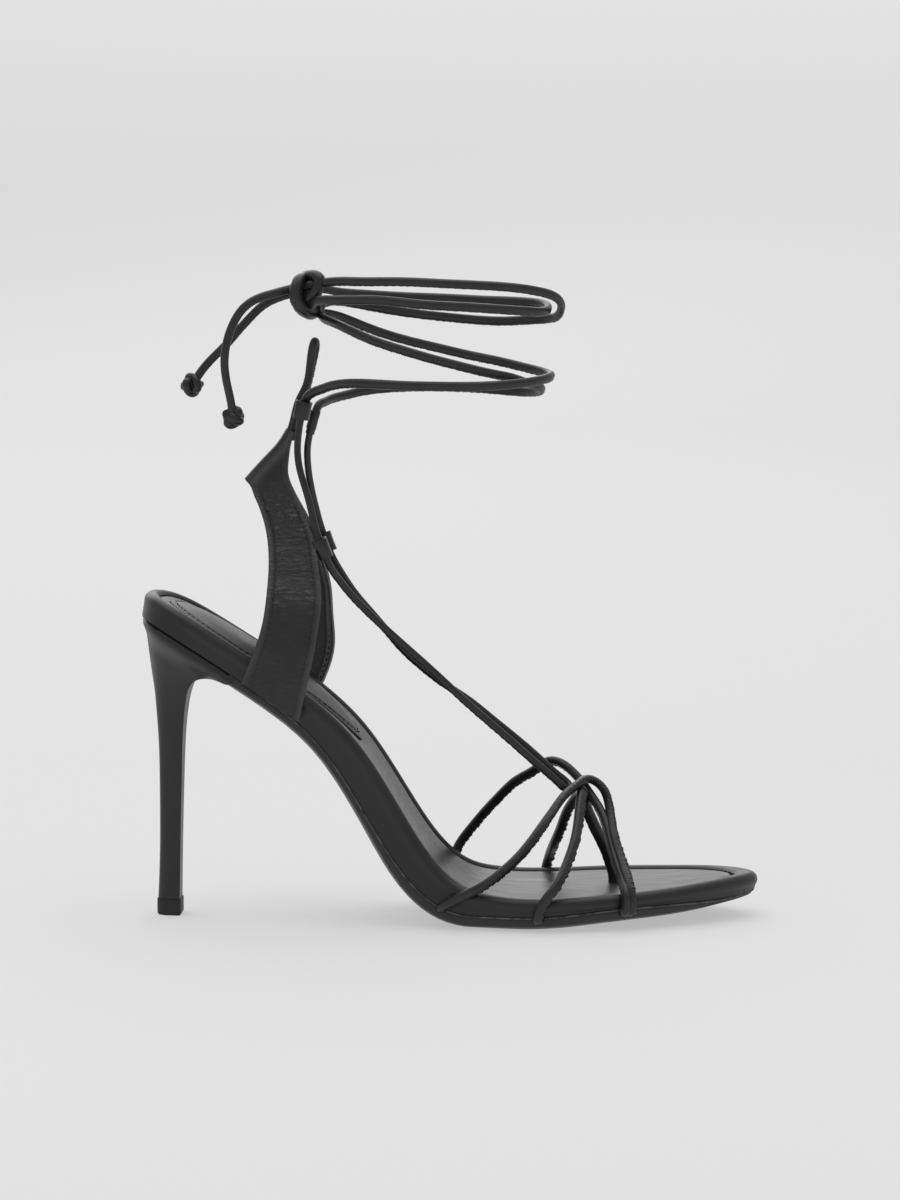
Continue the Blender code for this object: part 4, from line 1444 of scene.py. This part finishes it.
@dataclass
class Sling:
    """The heel sling: two wings sewn along a fold at the back, with turned and stitched edges."""

    middle_y: float = -2.5
    wall: float = 1.7
    rows: int = 196
    columns: int = 44
    fold_row: int = 9
    fold_steps: int = 7
    fold_radius: float = 1.3
    corner_flare: float = 0.2
    corner_reach: float = 2.4
    corner_rows: int = 2
    corner_tilt: float = math.radians(10)
    tilt_reach: float = 4.0
    fold_start: int = 2
    front_curve: float = 1.5
    medial_shifts: tuple = (
        # how far forward, height, half width
        (3.9, 86.0, 14.0),
        (-2.0, 138.0, 22.0),
    )
    seam_inset: float = 1.55
    seam_depth: float = 0.34
    seam_width: float = 0.55
    seam_rows: int = 4
    edge_swell: float = 0.4
    edge_inset: float = 0.55
    edge_width: float = 0.7
    edge_rounding: float = 0.5
    sharp_angle: float = 60.0
    smooth_angle: float = 50.0
    fold_fade: float = 8.0
    crease_fade: float = 2.0
    wrinkle_bands: tuple = (
        # share, height, half width
        (1.0, 137.5, 6.5),
        (0.8, 112.5, 4.5),
        (0.4, 124.0, 4.0),
    )
    wrinkle_floor: float = 0.08
    # Painted light: fill on the shaded inner faces, and the widths and share of the painted highlights on the
    # fold and the turned edges
    painted_light_lining: float = 2.0
    painted_highlight_fold: float = 2.0
    painted_highlight_edge: float = 0.7
    painted_highlight_edge_share: float = 0.9
    stitch: Stitch = Stitch(pitch=2.1, length=1.5, thread=0.85)

    def fold_level(self) -> int:
        """Row of the grid at which the fold starts."""
        return round(self.fold_row / (len(SLING_ROWS) - 1) * (self.rows - 1))

    def wing(self) -> Points:
        """Inner face of one wing, rear edge first in each row.

        Returns:
            Array of rows by columns by 3: x, distance from the mid-plane and z.
        """
        rows = np.array(SLING_ROWS, float)
        count = len(rows)
        levels = np.linspace(0, count - 1, self.rows)
        table = spline(range(count), rows, levels)
        low = levels <= self.fold_row
        lower = spline(range(self.fold_row + 1), rows[: self.fold_row + 1], levels[low])
        upper = spline(range(self.fold_row, count), rows[self.fold_row :], levels[~low])
        table[:, :3] = np.concatenate([lower[:, :3], upper[:, :3]])
        table[:, 2] = np.maximum(table[:, 2], self.fold_radius)
        below = hump(table[:, 1], rows[self.fold_row, 1], self.corner_reach)
        above = np.clip(self.fold_row + self.corner_rows - levels, 0, self.corner_rows) / self.corner_rows
        table[:, 0] -= self.corner_flare * np.where(low, below, above)
        rear = table[:, [0, 2, 1]]
        front = table[:, [3, 5, 4]]
        share = 0.5 * eased(self.columns) + 0.5 * np.linspace(0.0, 1.0, self.columns)
        spread = np.stack([share, share**self.front_curve, share], axis=1)
        return rear[:, None, :] + (front - rear)[:, None, :] * spread[None, :, :]

    def forward(self, side: Side, heights: Points) -> Points:
        """How much further forward than in the table a wing's front edge lies."""
        shifts = self.medial_shifts if side is Side.MEDIAL else ()
        return sum((by * hump(heights, middle, span) for by, middle, span in shifts), np.zeros_like(heights))

    def relief(self, wing: Points) -> Points:
        """How far each place of a wing stands out: turned edges, sewn channels and creases.

        Args:
            wing: Inner face of the wing.

        Returns:
            Array of rows by columns.
        """
        run = np.linalg.norm(wing - wing[:, :1], axis=2)
        rear, front = run, run[:, -1:] - run
        raised = np.zeros_like(run)
        below_fold = np.clip((self.fold_level() - np.arange(self.rows)) / self.fold_fade, 0.0, 1.0)[:, None]
        for away, shown in ((rear, below_fold), (front, 1.0)):
            raised += shown * self.edge_swell * hump(away, self.edge_inset, self.edge_width)
            raised -= shown * self.seam_depth * hump(away, self.seam_inset, self.seam_width)
        share = run / run[:, -1:]
        past_seam = np.minimum(rear, front) - self.seam_inset
        inside = np.clip(past_seam, 0.0, self.crease_fade) / self.crease_fade
        for crease in CREASES:
            ridge = hump(wing[:, :, 2], crease.middle(share), crease.width)
            raised -= crease.depth * inside * crease.shown(share) * ridge
        return raised

    def build(self) -> None:
        """Models the wings, their seams and the fold."""
        wing = self.wing()
        normal = unit(np.cross(np.gradient(wing, axis=1), np.gradient(wing, axis=0)))
        normal *= np.sign(normal[:, :, 1:2])
        shaped = wing + normal * self.relief(wing)[:, :, None]
        fold_level = self.fold_level()
        shaped[fold_level:, 0] = wing[fold_level:, 0]
        sides = {}
        for side in Side:
            face = shaped.copy()
            face[:, :, 0] += self.forward(side, face[:, :, 2]) * np.linspace(0.0, 1.0, self.columns)[None, :]
            face[:, :, 1] = self.middle_y + side.value * face[:, :, 1]
            sides[side] = face
        columns = [sides[Side.LATERAL][:, ::-1], self.fold(wing), sides[Side.MEDIAL]]
        sheet = grid_piece("sling_wings", np.concatenate(columns, axis=1))
        self.open_back(sheet)
        if sheet.data.polygons[0].normal.y > 0:
            flip(sheet)
        thicken(sheet, self.wall, 1.0)
        soften_edges(sheet, self.edge_rounding, self.sharp_angle)
        apply_modifiers(sheet)
        smooth(sheet, self.smooth_angle)
        self.mark_wrinkles(sheet)
        self.mark_painted_light(sheet, wing)
        dress(sheet, CALF_SLING, "sling_leather", "heel_sling")
        self.sew_edges(wing, normal)

    def fold(self, wing: Points) -> Points:
        """Half rings behind the rear edges, square to the fold's line.

        Args:
            wing: Inner face of one wing.

        Returns:
            Array of rows by points by 3.
        """
        rear = wing[:, 0]
        along = unit(np.gradient(rear[:, [0, 2]], axis=0))
        start = self.fold_level() + self.fold_start
        along[:start] = along[start]
        lean = np.arctan2(along[:, 1], along[:, 0])
        lean -= self.corner_tilt * hump(rear[:, 2], rear[self.fold_level(), 2], self.tilt_reach)
        along = np.stack([np.cos(lean), np.sin(lean)], axis=1)
        turn = np.linspace(0.0, math.pi, self.fold_steps + 2)[1:-1]
        out = np.sin(turn)[None, :] * self.fold_radius
        x = rear[:, :1] - along[:, 1:] * out
        z = rear[:, 2:] + along[:, :1] * out
        y = self.middle_y - rear[:, 1:2] * np.cos(turn)[None, :]
        return np.stack([x, y, z], axis=2)

    def open_back(self, sheet: Piece) -> None:
        """Removes the faces between the wings below the fold.

        Args:
            sheet: The sling, before it gets its wall.
        """
        width = 2 * self.columns + self.fold_steps - 1
        bpy.ops.object.mode_set(mode="EDIT")
        bpy.ops.mesh.select_mode(type="FACE")
        bpy.ops.mesh.select_all(action="DESELECT")
        edit = bmesh.from_edit_mesh(sheet.data)
        edit.faces.ensure_lookup_table()
        for row in range(self.fold_level()):
            for column in range(self.columns - 1, self.columns + self.fold_steps):
                edit.faces[row * width + column].select = True
        bmesh.update_edit_mesh(sheet.data)
        bpy.ops.mesh.delete(type="FACE")
        bpy.ops.mesh.select_all(action="SELECT")
        bpy.ops.mesh.delete_loose()
        bpy.ops.object.mode_set(mode="OBJECT")

    def mark_wrinkles(self, sheet: Piece) -> None:
        """Stores how finely wrinkled the leather is at each place, for its finish.

        Args:
            sheet: The sling.
        """
        heights = np.array([vertex.co.z / MM for vertex in sheet.data.vertices])
        worn = sum(share * hump(heights, middle, width) for share, middle, width in self.wrinkle_bands)
        store(sheet, "wrinkled", worn + self.wrinkle_floor)

    def mark_painted_light(self, sheet: Piece, wing: Points) -> None:
        """Stores where light is painted into the leather's colour, for its finish: painted fill light on the
        inner faces, which lie in shade, and painted highlights on the turned edges and the fold.

        Args:
            sheet: The sling.
            wing: Inner face of one wing.
        """
        places = np.array([vertex.co for vertex in sheet.data.vertices]) / MM
        facing = np.array([vertex.normal.y for vertex in sheet.data.vertices])
        # Painted fill light on the faces that look inward, into the shade between the wings
        inward = np.clip(-self.painted_light_lining * facing * np.sign(places[:, 1] - self.middle_y), 0.0, 1.0)
        order = np.argsort(wing[:, 0, 2])
        rear_x = np.interp(places[:, 2], wing[order, 0, 2], wing[order, 0, 0])
        front_x = np.interp(places[:, 2], wing[:, -1, 2], wing[:, -1, 0])
        medial = places[:, 1] > self.middle_y
        front_x += np.where(medial, self.forward(Side.MEDIAL, places[:, 2]), 0.0)
        # Painted highlights along the fold and along the rear and front edges
        on_fold = places[:, 2] > wing[self.fold_level(), 0, 2]
        at_rear = hump(places[:, 0], rear_x, np.where(on_fold, self.painted_highlight_fold, self.painted_highlight_edge))
        at_front = hump(places[:, 0], front_x, self.painted_highlight_edge)
        store(sheet, "pale", np.maximum(inward, self.painted_highlight_edge_share * np.maximum(at_rear, at_front)))

    def sew_edges(self, wing: Points, normal: Points) -> None:
        """Sews a row of stitches inside each edge of both wings, on both faces.

        Args:
            wing: Inner face of one wing.
            normal: Its normals.
        """
        run = np.linalg.norm(wing - wing[:, :1], axis=2)
        paths = []
        for face, lift in (("inside", self.seam_depth), ("outside", self.wall - self.seam_depth)):
            for edge in ("rear", "front"):
                rows = []
                last = self.fold_level() if edge == "rear" else self.rows - self.seam_rows
                for level in range(self.seam_rows, last):
                    away = self.seam_inset if edge == "rear" else run[level, -1] - self.seam_inset
                    place = read_rows(away, run[level], wing[level])
                    rows.append(place + read_rows(away, run[level], normal[level]) * lift)
                paths.append((f"{edge}_{face}", np.array(rows)))
        for side in Side:
            for where, path in paths:
                line = path.copy()
                if where.startswith("front"):
                    line[:, 0] += self.forward(side, line[:, 2])
                line[:, 1] = self.middle_y + side.value * line[:, 1]
                name = f"{side.name.lower()}_{where}_stitches"
                dress(sew(name, line[:: self.seam_rows], self.stitch), SEWING_THREAD, "sling_leather")


@dataclass
class BackLoop:
    """The rolled strap, doubled over at its top, that stands on the sling's fold."""

    seams: tuple = ((1.0, -0.4, 0.0), (1.0, -0.4, 0.0), (1.0, 0.4, 0.0))
    points: tuple = (
        (-57.2, -2.8, 159.0), (-54.9, -3.2, 164.2), (-53.4, -3.6, 168.4), (-52.4, -3.9, 172.4),
        (-51.0, -4.0, 176.8), (-49.1, -4.0, 180.6), (-47.9, -4.0, 184.7), (-47.4, -4.0, 188.7),
        (-46.9, -4.0, 192.8), (-46.4, -3.8, 195.2), (-45.9, -2.5, 196.5), (-45.7, -1.2, 195.2),
        (-46.1, -1.0, 192.6), (-47.0, -1.0, 188.4), (-47.9, -1.0, 184.5), (-49.0, -1.0, 180.2),
        (-50.7, -1.2, 176.0), (-52.3, -1.6, 170.4),
    )

    def build(self) -> None:
        """Models the loop."""
        loop = LOOP.piece("sling_back_loop", LOOP.path(self.points), self.seams)
        dress(loop, ROLLED_CALF, "loop_leather", "back_loop")


# The tie

LATERAL_RUN = (
    (40.3, -1.0, 43.7), (36.2, -2.4, 47.0), (29.7, -3.4, 52.8), (21.6, -4.0, 60.0), (13.7, -4.5, 66.9),
    (5.2, -5.0, 74.4), (-2.9, -5.5, 82.0), (-10.0, -6.4, 88.6), (-16.4, -7.2, 94.4),
    (-23.0, -8.3, 100.5), (-28.2, -9.2, 105.6), (-33.0, -10.4, 110.8), (-37.0, -12.8, 116.2),
    (-39.6, -15.0, 120.3), (-41.0, -16.0, 123.4), (-42.4, -16.6, 127.2), (-43.7, -16.7, 130.8),
    (-45.2, -15.0, 135.2), (-46.6, -12.8, 140.4), (-48.5, -10.6, 146.6), (-50.5, -9.2, 153.0),
    (-51.4, -8.5, 159.6), (-51.0, -8.2, 166.0), (-50.3, -8.1, 170.2), (-49.8, -8.1, 172.4),
)
MEDIAL_RUN = (
    (40.7, 1.8, 44.5), (37.0, 2.8, 47.9), (30.5, 2.0, 53.8), (22.4, 1.5, 60.9), (14.2, 1.2, 67.6),
    (5.3, 1.2, 74.6), (-3.3, 1.4, 80.2), (-10.0, 1.6, 85.4), (-16.2, 1.8, 91.0), (-22.4, 2.2, 98.2),
    (-25.6, 2.8, 101.9), (-29.2, 3.8, 105.8), (-32.8, 5.0, 109.9), (-36.5, 7.4, 114.8),
    (-39.4, 9.8, 119.0), (-41.6, 11.3, 122.9), (-43.2, 11.8, 127.0), (-44.6, 11.9, 130.8),
    (-45.6, 10.8, 134.4), (-46.4, 9.0, 138.2), (-47.4, 7.0, 143.0), (-48.5, 5.0, 149.8),
    (-49.0, 3.8, 155.6), (-48.9, 3.2, 160.4), (-48.2, 3.1, 164.6),
)
LATERAL_WRAP = (
    (-49.8, -8.1, 172.4), (-49.4, -8.2, 174.6), (-48.5, -8.7, 177.2), (-46.9, -10.4, 179.0),
    (-43.3, -13.6, 180.7), (-39.7, -17.0, 182.1), (-35.9, -20.4, 183.0), (-25.5, -26.5, 183.5),
    (-15.4, -28.5, 183.1), (-2.0, -28.5, 182.8), (11.2, -25.5, 182.7), (21.1, -20.5, 183.1),
    (27.6, -15.0, 183.6), (32.4, -8.5, 184.3), (34.2, -2.5, 185.0), (32.3, 3.0, 185.6), (28.4, 8.0, 186.4),
    (23.1, 12.5, 187.4), (16.1, 16.5, 188.8), (5.7, 20.0, 190.7), (-4.7, 21.5, 193.0), (-18.4, 20.5, 196.4),
    (-28.6, 17.8, 199.9), (-36.9, 13.6, 203.5), (-41.0, 9.5, 205.0), (-44.6, 5.4, 205.6), (-47.0, 1.4, 206.0),
    (-47.8, -2.6, 207.4), (-47.2, -7.0, 209.3), (-44.7, -11.0, 210.5), (-39.6, -15.5, 211.0),
    (-32.6, -19.6, 211.2), (-22.4, -23.0, 211.2), (-8.8, -25.5, 210.0), (4.5, -24.5, 209.2),
    (17.7, -20.5, 208.2), (27.0, -14.5, 207.3), (32.0, -8.0, 207.0), (33.2, -2.5, 207.8), (31.8, 3.0, 208.8),
    (29.0, 7.5, 209.2), (23.1, 12.0, 209.5), (12.7, 16.0, 209.7), (-1.2, 19.5, 210.2), (-18.3, 19.0, 210.9),
    (-31.7, 14.5, 211.9), (-39.7, 7.5, 213.0), (-44.4, 2.0, 214.0), (-50.0, 0.4, 213.4), (-55.7, 0.1, 212.0),
    (-58.4, 1.0, 211.1), (-61.4, 1.7, 209.8), (-65.0, 2.4, 207.4), (-68.4, 3.2, 204.1), (-72.0, 3.8, 200.2),
    (-77.1, 4.4, 194.4), (-82.6, 4.5, 188.9), (-86.0, 4.2, 184.6), (-87.9, 4.0, 181.5),
)
MEDIAL_WRAP = (
    (-48.2, 3.1, 164.6), (-47.2, 3.1, 168.2), (-46.1, 3.2, 172.0), (-45.2, 4.6, 174.2),
    (-43.4, 8.0, 175.3), (-41.4, 11.5, 176.1), (-38.0, 15.0, 176.9), (-32.0, 18.5, 178.2),
    (-18.5, 22.5, 179.5), (-4.8, 23.0, 179.7), (12.6, 18.5, 179.2), (23.1, 12.5, 178.7),
    (28.8, 6.5, 179.1), (30.9, 1.0, 180.2), (29.9, -3.5, 181.5), (26.3, -8.5, 182.9),
    (22.4, -12.5, 184.5), (14.3, -18.0, 186.6), (4.4, -22.0, 189.2), (-5.6, -23.5, 191.9),
    (-15.7, -22.5, 194.8), (-26.0, -19.0, 198.0), (-32.9, -15.6, 200.8), (-36.8, -12.0, 202.4),
    (-40.0, -7.6, 203.4), (-42.6, -3.5, 204.2), (-44.0, -0.5, 205.6), (-44.1, 1.4, 207.8),
    (-42.6, 5.4, 209.4), (-38.4, 12.0, 209.5), (-31.9, 16.8, 208.2), (-25.0, 18.4, 206.8),
    (-11.5, 20.5, 204.7), (2.2, 20.5, 203.3), (16.1, 17.0, 202.6), (26.6, 11.0, 203.3),
    (33.6, 5.5, 204.1), (37.0, -0.5, 206.0), (37.6, -5.0, 209.4), (35.6, -9.0, 212.0),
    (30.4, -13.5, 213.9), (24.3, -17.5, 215.1), (11.1, -22.5, 216.3), (-2.2, -25.0, 217.0),
    (-15.6, -24.0, 217.5), (-29.4, -18.5, 217.3), (-38.3, -12.0, 217.1), (-44.2, -7.6, 216.2),
    (-50.0, -5.4, 215.0), (-56.0, -6.0, 213.7), (-58.6, -7.2, 213.0), (-61.2, -8.2, 212.3),
    (-64.2, -9.0, 211.3), (-67.4, -9.6, 209.6), (-70.2, -10.0, 207.0), (-72.6, -10.4, 203.2),
    (-75.2, -11.0, 195.4), (-75.8, -11.0, 189.4), (-75.0, -11.0, 182.6), (-73.6, -11.0, 175.8),
    (-73.1, -11.0, 172.4),
)
ANKLE_KNOT = (
    (-46.4, 2.0, 217.8), (-49.6, -3.0, 217.5), (-51.1, -7.0, 216.5), (-51.7, -8.8, 214.1),
    (-51.4, -9.3, 210.9), (-50.1, -8.4, 208.3), (-48.5, -6.0, 206.4), (-47.0, -2.0, 205.8),
    (-46.6, 3.0, 207.6), (-47.4, 4.8, 211.4), (-48.6, 3.8, 215.3), (-49.2, 1.0, 217.5),
    (-47.4, -3.0, 218.4), (-45.3, -6.0, 218.4), (-43.9, -7.8, 217.3), (-44.2, -8.4, 215.0),
    (-45.8, -8.2, 212.3), (-48.3, -6.8, 211.2), (-49.6, -4.0, 212.6), (-49.2, -2.0, 215.3),
)


class KeeperRow(NamedTuple):
    """A leather sleeve on the sling's front edge: name, the run that it holds, its middle's height, sizes."""

    name: str
    run: tuple
    middle_z: float
    half_width: float
    length: float


KEEPERS = (
    KeeperRow("lateral_lower_keeper", LATERAL_RUN, 127.3, 2.6, 6.8),
    KeeperRow("lateral_upper_keeper", LATERAL_RUN + LATERAL_WRAP[1:4], 173.4, 2.85, 6.2),
    KeeperRow("medial_lower_keeper", MEDIAL_RUN, 127.0, 2.6, 6.8),
    KeeperRow("medial_upper_keeper", MEDIAL_RUN + MEDIAL_WRAP[1:4], 169.2, 1.75, 6.4),
)


@dataclass
class Keepers:
    """The four leather sleeves that the tie runs through: squared tubes with soft rims."""

    wall: float = 0.7
    rim: float = 0.28
    rim_corner: float = 0.3
    waist: float = 0.08
    squareness: float = 0.72
    sides: int = 40
    step: float = 0.5
    axis_steps: int = 4

    def build(self) -> None:
        """Models each sleeve round its run."""
        for keeper in KEEPERS:
            path = route(keeper.run, self.step)
            nearest = int(np.argmin(np.abs(path[:, 2] - keeper.middle_z)))
            axis = unit(path[nearest + self.axis_steps] - path[nearest - self.axis_steps])
            beside = unit(np.cross((0.0, 1.0, 0.0), axis))
            away = np.cross(axis, beside)
            turn = np.linspace(0.0, 2 * math.pi, self.sides, endpoint=False)
            across = np.sign(np.cos(turn)) * np.abs(np.cos(turn)) ** self.squareness
            along = np.sign(np.sin(turn)) * np.abs(np.sin(turn)) ** self.squareness
            section = across[:, None] * beside + along[:, None] * away
            rings = [path[nearest] + end * axis + radius * section for radius, end in self.profile(keeper)]
            sleeve = grid_piece(keeper.name + "_sleeve", np.array(rings), closed=True)
            dress(sleeve, ROLLED_CALF, "keeper_leather", keeper.name)

    def profile(self, keeper: KeeperRow) -> list[tuple[float, float]]:
        """Radii and places along the axis of a sleeve's rings, round its wall and back to the first.

        Args:
            keeper: The sleeve.

        Returns:
            Pairs of a radius and a place.
        """
        half = keeper.length / 2
        inner, outer = keeper.half_width - self.wall, keeper.half_width
        corner = self.rim_corner * self.rim
        upper = [
            (inner, half - self.rim),
            (inner + corner, half - corner),
            (inner + self.rim, half),
            (outer - self.rim, half),
            (outer - corner, half - corner),
            (outer, half - self.rim),
        ]
        lower = [(radius, -end) for radius, end in reversed(upper)]
        waist = [(outer - self.waist, 0.0)]
        return upper + waist + lower + upper[:1]


@dataclass
class Tie:
    """The long tie: two runs up the instep, two wraps round the ankle, the knot and two tails."""

    slot: str = "tie_leather"
    # The cord's thickness in metres
    diameter: float = 0.0028
    heading_steps: int = 3
    instep_seams: tuple = (
        (-0.3, -1.0, 0.3), (-0.7, -0.6, -0.5), (-0.7, -0.2, -0.7), (-0.6, 0.2, -0.7), (-0.3, -1.0, 0.3),
    )
    cord_seams: tuple = (
        (0.1, 0.2, -1.0), (0.1, -0.4, -1.0), (0.1, 0.2, -1.0), (0.1, -0.4, -1.0), (0.6, -0.7, -0.3),
    )
    knot_seams: tuple = ((0.0, 0.0, -1.0), (-1.0, 0.0, 0.0), (0.0, 1.0, 0.0), (1.0, 0.0, 0.2))
    knot_turn: tuple = (-0.15, 2 * math.pi - 0.5)
    knot_points: int = 90
    knot_reach: float = 0.84
    knot_height: float = 2.0

    def build(self) -> None:
        """Models the instep runs, the free cords and their knots."""
        path = INSTEP.path(LATERAL_RUN[::-1] + MEDIAL_RUN)
        instep = INSTEP.piece("instep_tie_cord", path, self.instep_seams)
        dress(instep, ROLLED_CALF, self.slot, "instep_tie")
        knot = self.knot("ankle_knot", ANKLE_KNOT, KNOT_CORD, "tie_knot")
        self.free_cord(Side.LATERAL, LATERAL_WRAP)
        self.free_cord(Side.MEDIAL, MEDIAL_WRAP)

    def free_cord(self, side: Side, points: tuple) -> None:
        """Models one free cord with its end knot.

        Args:
            side: The side that it leaves from.
            points: Its route from the keeper to the end knot.
        """
        word = side.name.lower()
        path = TIE.path(points)
        cord = TIE.piece(f"{word}_tie_cord", path, self.cord_seams)
        dress(cord, ROLLED_CALF, self.slot, f"{word}_tie_wrap", f"{word}_tie_tail")
        heading = Vector(path[-1] - path[-1 - self.heading_steps])
        end = self.end_knot(f"{word}_end_knot", heading)

    def knot(self, name: str, points: Sequence[Sequence[float]], section: Roll, node: str) -> Piece:
        """Models a wound knot along a route.

        Args:
            name: The piece's name.
            points: Route of its cord.
            section: Section of its cord.
            node: The node that it stands for.

        Returns:
            The knot.
        """
        piece = section.piece(name, section.path(points), self.knot_seams)
        return dress(piece, ROLLED_CALF, self.slot, node)

    def end_knot(self, node: str, heading: Vector) -> Piece:
        """Models an overhand knot at a cord's end.

        Args:
            node: The node that it stands for.
            heading: The cord's direction where it enters the knot.

        Returns:
            The knot.
        """
        turn = np.linspace(*self.knot_turn, self.knot_points)
        ring = self.knot_reach * (2 + np.cos(3 * turn))
        rise = self.knot_height * np.sin(3 * turn)
        coil = np.stack([ring * np.cos(2 * turn), ring * np.sin(2 * turn), rise], axis=1)
        tilt = heading.normalized().to_track_quat("Y", "Z").to_matrix()
        low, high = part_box(node)
        middle = np.array((low + high) / 2) / MM
        return self.knot(f"{node}_ball", coil @ np.array(tilt).T + middle, END_CORD, node)


# Stage, light and camera


@dataclass
class Stage:
    """A pale sweep, soft studio light and the photo's camera.

    The sweep and the soft boxes are in metres, and the camera's eye and target in millimetres.
    """

    tone: str = "#9c9c9c"
    paper_roughness: float = 0.9
    paper_specular: float = 0.1
    glow_span: tuple = (-1.0, 4.0)
    paper_glow: tuple = ((-0.3, 0.458), (0.4, 0.42), (2.3, 0.388), (3.0, 0.432), (3.7, 0.54))
    sky: float = 0.5
    sweep_size: float = 10.0
    sweep_height: float = 4.0
    sweep_bend: float = 3.0
    bend_steps: int = 24
    edge_reach: float = 0.1
    softboxes: tuple = (
        # name, place in metres, aim, size, power
        ("top_softbox", (-0.1, 0.3, 2.0), (0.0, 0.0, 0.1), 2.4, 20.0),
        ("back_softbox", (-0.6, 2.2, 1.5), (0.0, 0.0, 0.1), 2.0, 14.0),
        ("backdrop_softbox", (0.0, 3.0, 2.6), (0.0, 4.8, 0.6), 2.6, 16.0),
    )
    eye: tuple = (93.7, -1791.4, 285.0)
    target: tuple = (0.0, -2.5, 108.5)
    lens: float = 158.8
    sensor: float = 36.0
    far_clip: float = 50.0

    def build(self) -> None:
        """Sets up the floor, the light and the camera."""
        self.floor()
        self.light()
        self.camera()

    def floor(self) -> None:
        """Models a plane that runs back and curves up."""
        deselect()
        bpy.ops.mesh.primitive_plane_add(size=self.sweep_size)
        sweep = named("studio_sweep")
        bpy.ops.object.mode_set(mode="EDIT")
        bpy.ops.mesh.select_mode(type="EDGE")
        self.select_back_edges(sweep)
        bpy.ops.mesh.extrude_region_move(TRANSFORM_OT_translate={"value": (0.0, 0.0, self.sweep_height)})
        self.select_back_edges(sweep)
        bpy.ops.mesh.bevel(offset=self.sweep_bend, segments=self.bend_steps, affect="EDGES")
        bpy.ops.object.mode_set(mode="OBJECT")
        smooth(sweep, 60)
        paper = bpy.data.materials.new("sweep_paper")
        paper.use_nodes = True
        shader = paper.node_tree.nodes["Principled BSDF"]
        shader.inputs["Base Color"].default_value = srgb(self.tone)
        shader.inputs["Roughness"].default_value = self.paper_roughness
        shader.inputs["Specular IOR Level"].default_value = self.paper_specular
        shader.inputs["Emission Color"].default_value = (1.0, 1.0, 1.0, 1.0)
        self.even_glow(paper.node_tree, shader)
        sweep.data.materials.append(paper)

    def even_glow(self, tree: bpy.types.NodeTree, shader: bpy.types.Node) -> None:
        """Lets the paper glow a little less where the soft boxes reach it most, so that it looks even.

        Args:
            tree: The paper's tree.
            shader: Its shader.
        """
        place = add_node(tree, "ShaderNodeTexCoord").outputs["Object"]
        back = add_node(tree, "ShaderNodeSeparateXYZ", None, {"Vector": place}).outputs["Y"]
        low, high = self.glow_span
        share = add_node(tree, "ShaderNodeMapRange", {"From Min": low, "From Max": high}, {"Value": back})
        ramp = add_node(tree, "ShaderNodeValToRGB", None, {"Fac": share.outputs["Result"]})
        stops = ramp.color_ramp.elements
        while len(stops) < len(self.paper_glow):
            stops.new(0.5)
        for stop, (y, glow) in zip(stops, self.paper_glow):
            stop.position = (y - low) / (high - low)
            stop.color = (glow, glow, glow, 1.0)
        tree.links.new(ramp.outputs["Color"], shader.inputs["Emission Strength"])

    def select_back_edges(self, sweep: Piece) -> None:
        """Selects only the sweep's edge at its back on the floor, in edit mode.

        Args:
            sweep: The sweep, in edit mode.
        """
        back = self.sweep_size / 2 - self.edge_reach
        bpy.ops.mesh.select_all(action="DESELECT")
        edit = bmesh.from_edit_mesh(sweep.data)
        for edge in edit.edges:
            if all(vertex.co.y > back and vertex.co.z < self.edge_reach for vertex in edge.verts):
                edge.select = True
        bmesh.update_edit_mesh(sweep.data)

    def light(self) -> None:
        """Lights the scene with an even sky and large soft boxes."""
        bpy.context.scene.view_settings.view_transform = "Standard"
        world = bpy.data.worlds.new("studio")
        bpy.context.scene.world = world
        world.use_nodes = True
        shine = world.node_tree.nodes["Background"]
        shine.inputs["Color"].default_value = (1.0, 1.0, 1.0, 1.0)
        shine.inputs["Strength"].default_value = self.sky
        for name, place, aim, size, power in self.softboxes:
            lamp = bpy.data.lights.new(name, "AREA")
            lamp.energy = power
            lamp.size = size
            holder = link_new(name, lamp)
            holder.location = place
            holder.rotation_euler = (Vector(aim) - Vector(place)).to_track_quat("-Z", "Y").to_euler()

    def camera(self) -> None:
        """Sets the camera at the photo's angle."""
        lens = bpy.data.cameras.new("photo_camera")
        lens.lens = self.lens
        lens.sensor_width = self.sensor
        lens.clip_end = self.far_clip
        camera = link_new("photo_camera", lens)
        camera.location = Vector(self.eye) * MM
        look = Vector(self.target) - Vector(self.eye)
        camera.rotation_euler = look.to_track_quat("-Z", "Y").to_euler()
        bpy.context.scene.camera = camera


def main() -> None:
    """Dresses the sandal piece by piece."""
    logging.basicConfig(level=logging.INFO, format="%(message)s")
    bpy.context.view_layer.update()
    deselect()
    sole = (Platform(), Footbed(), HeelPad(), Outsole(), Heel())
    for assembly in (Stage(), Tie(), Keepers(), *sole, Upper(), Sling(), BackLoop()):
        assembly.build()
        LOG.info("built %s", type(assembly).__name__)
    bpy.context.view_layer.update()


if __name__ == "__main__":
    main()
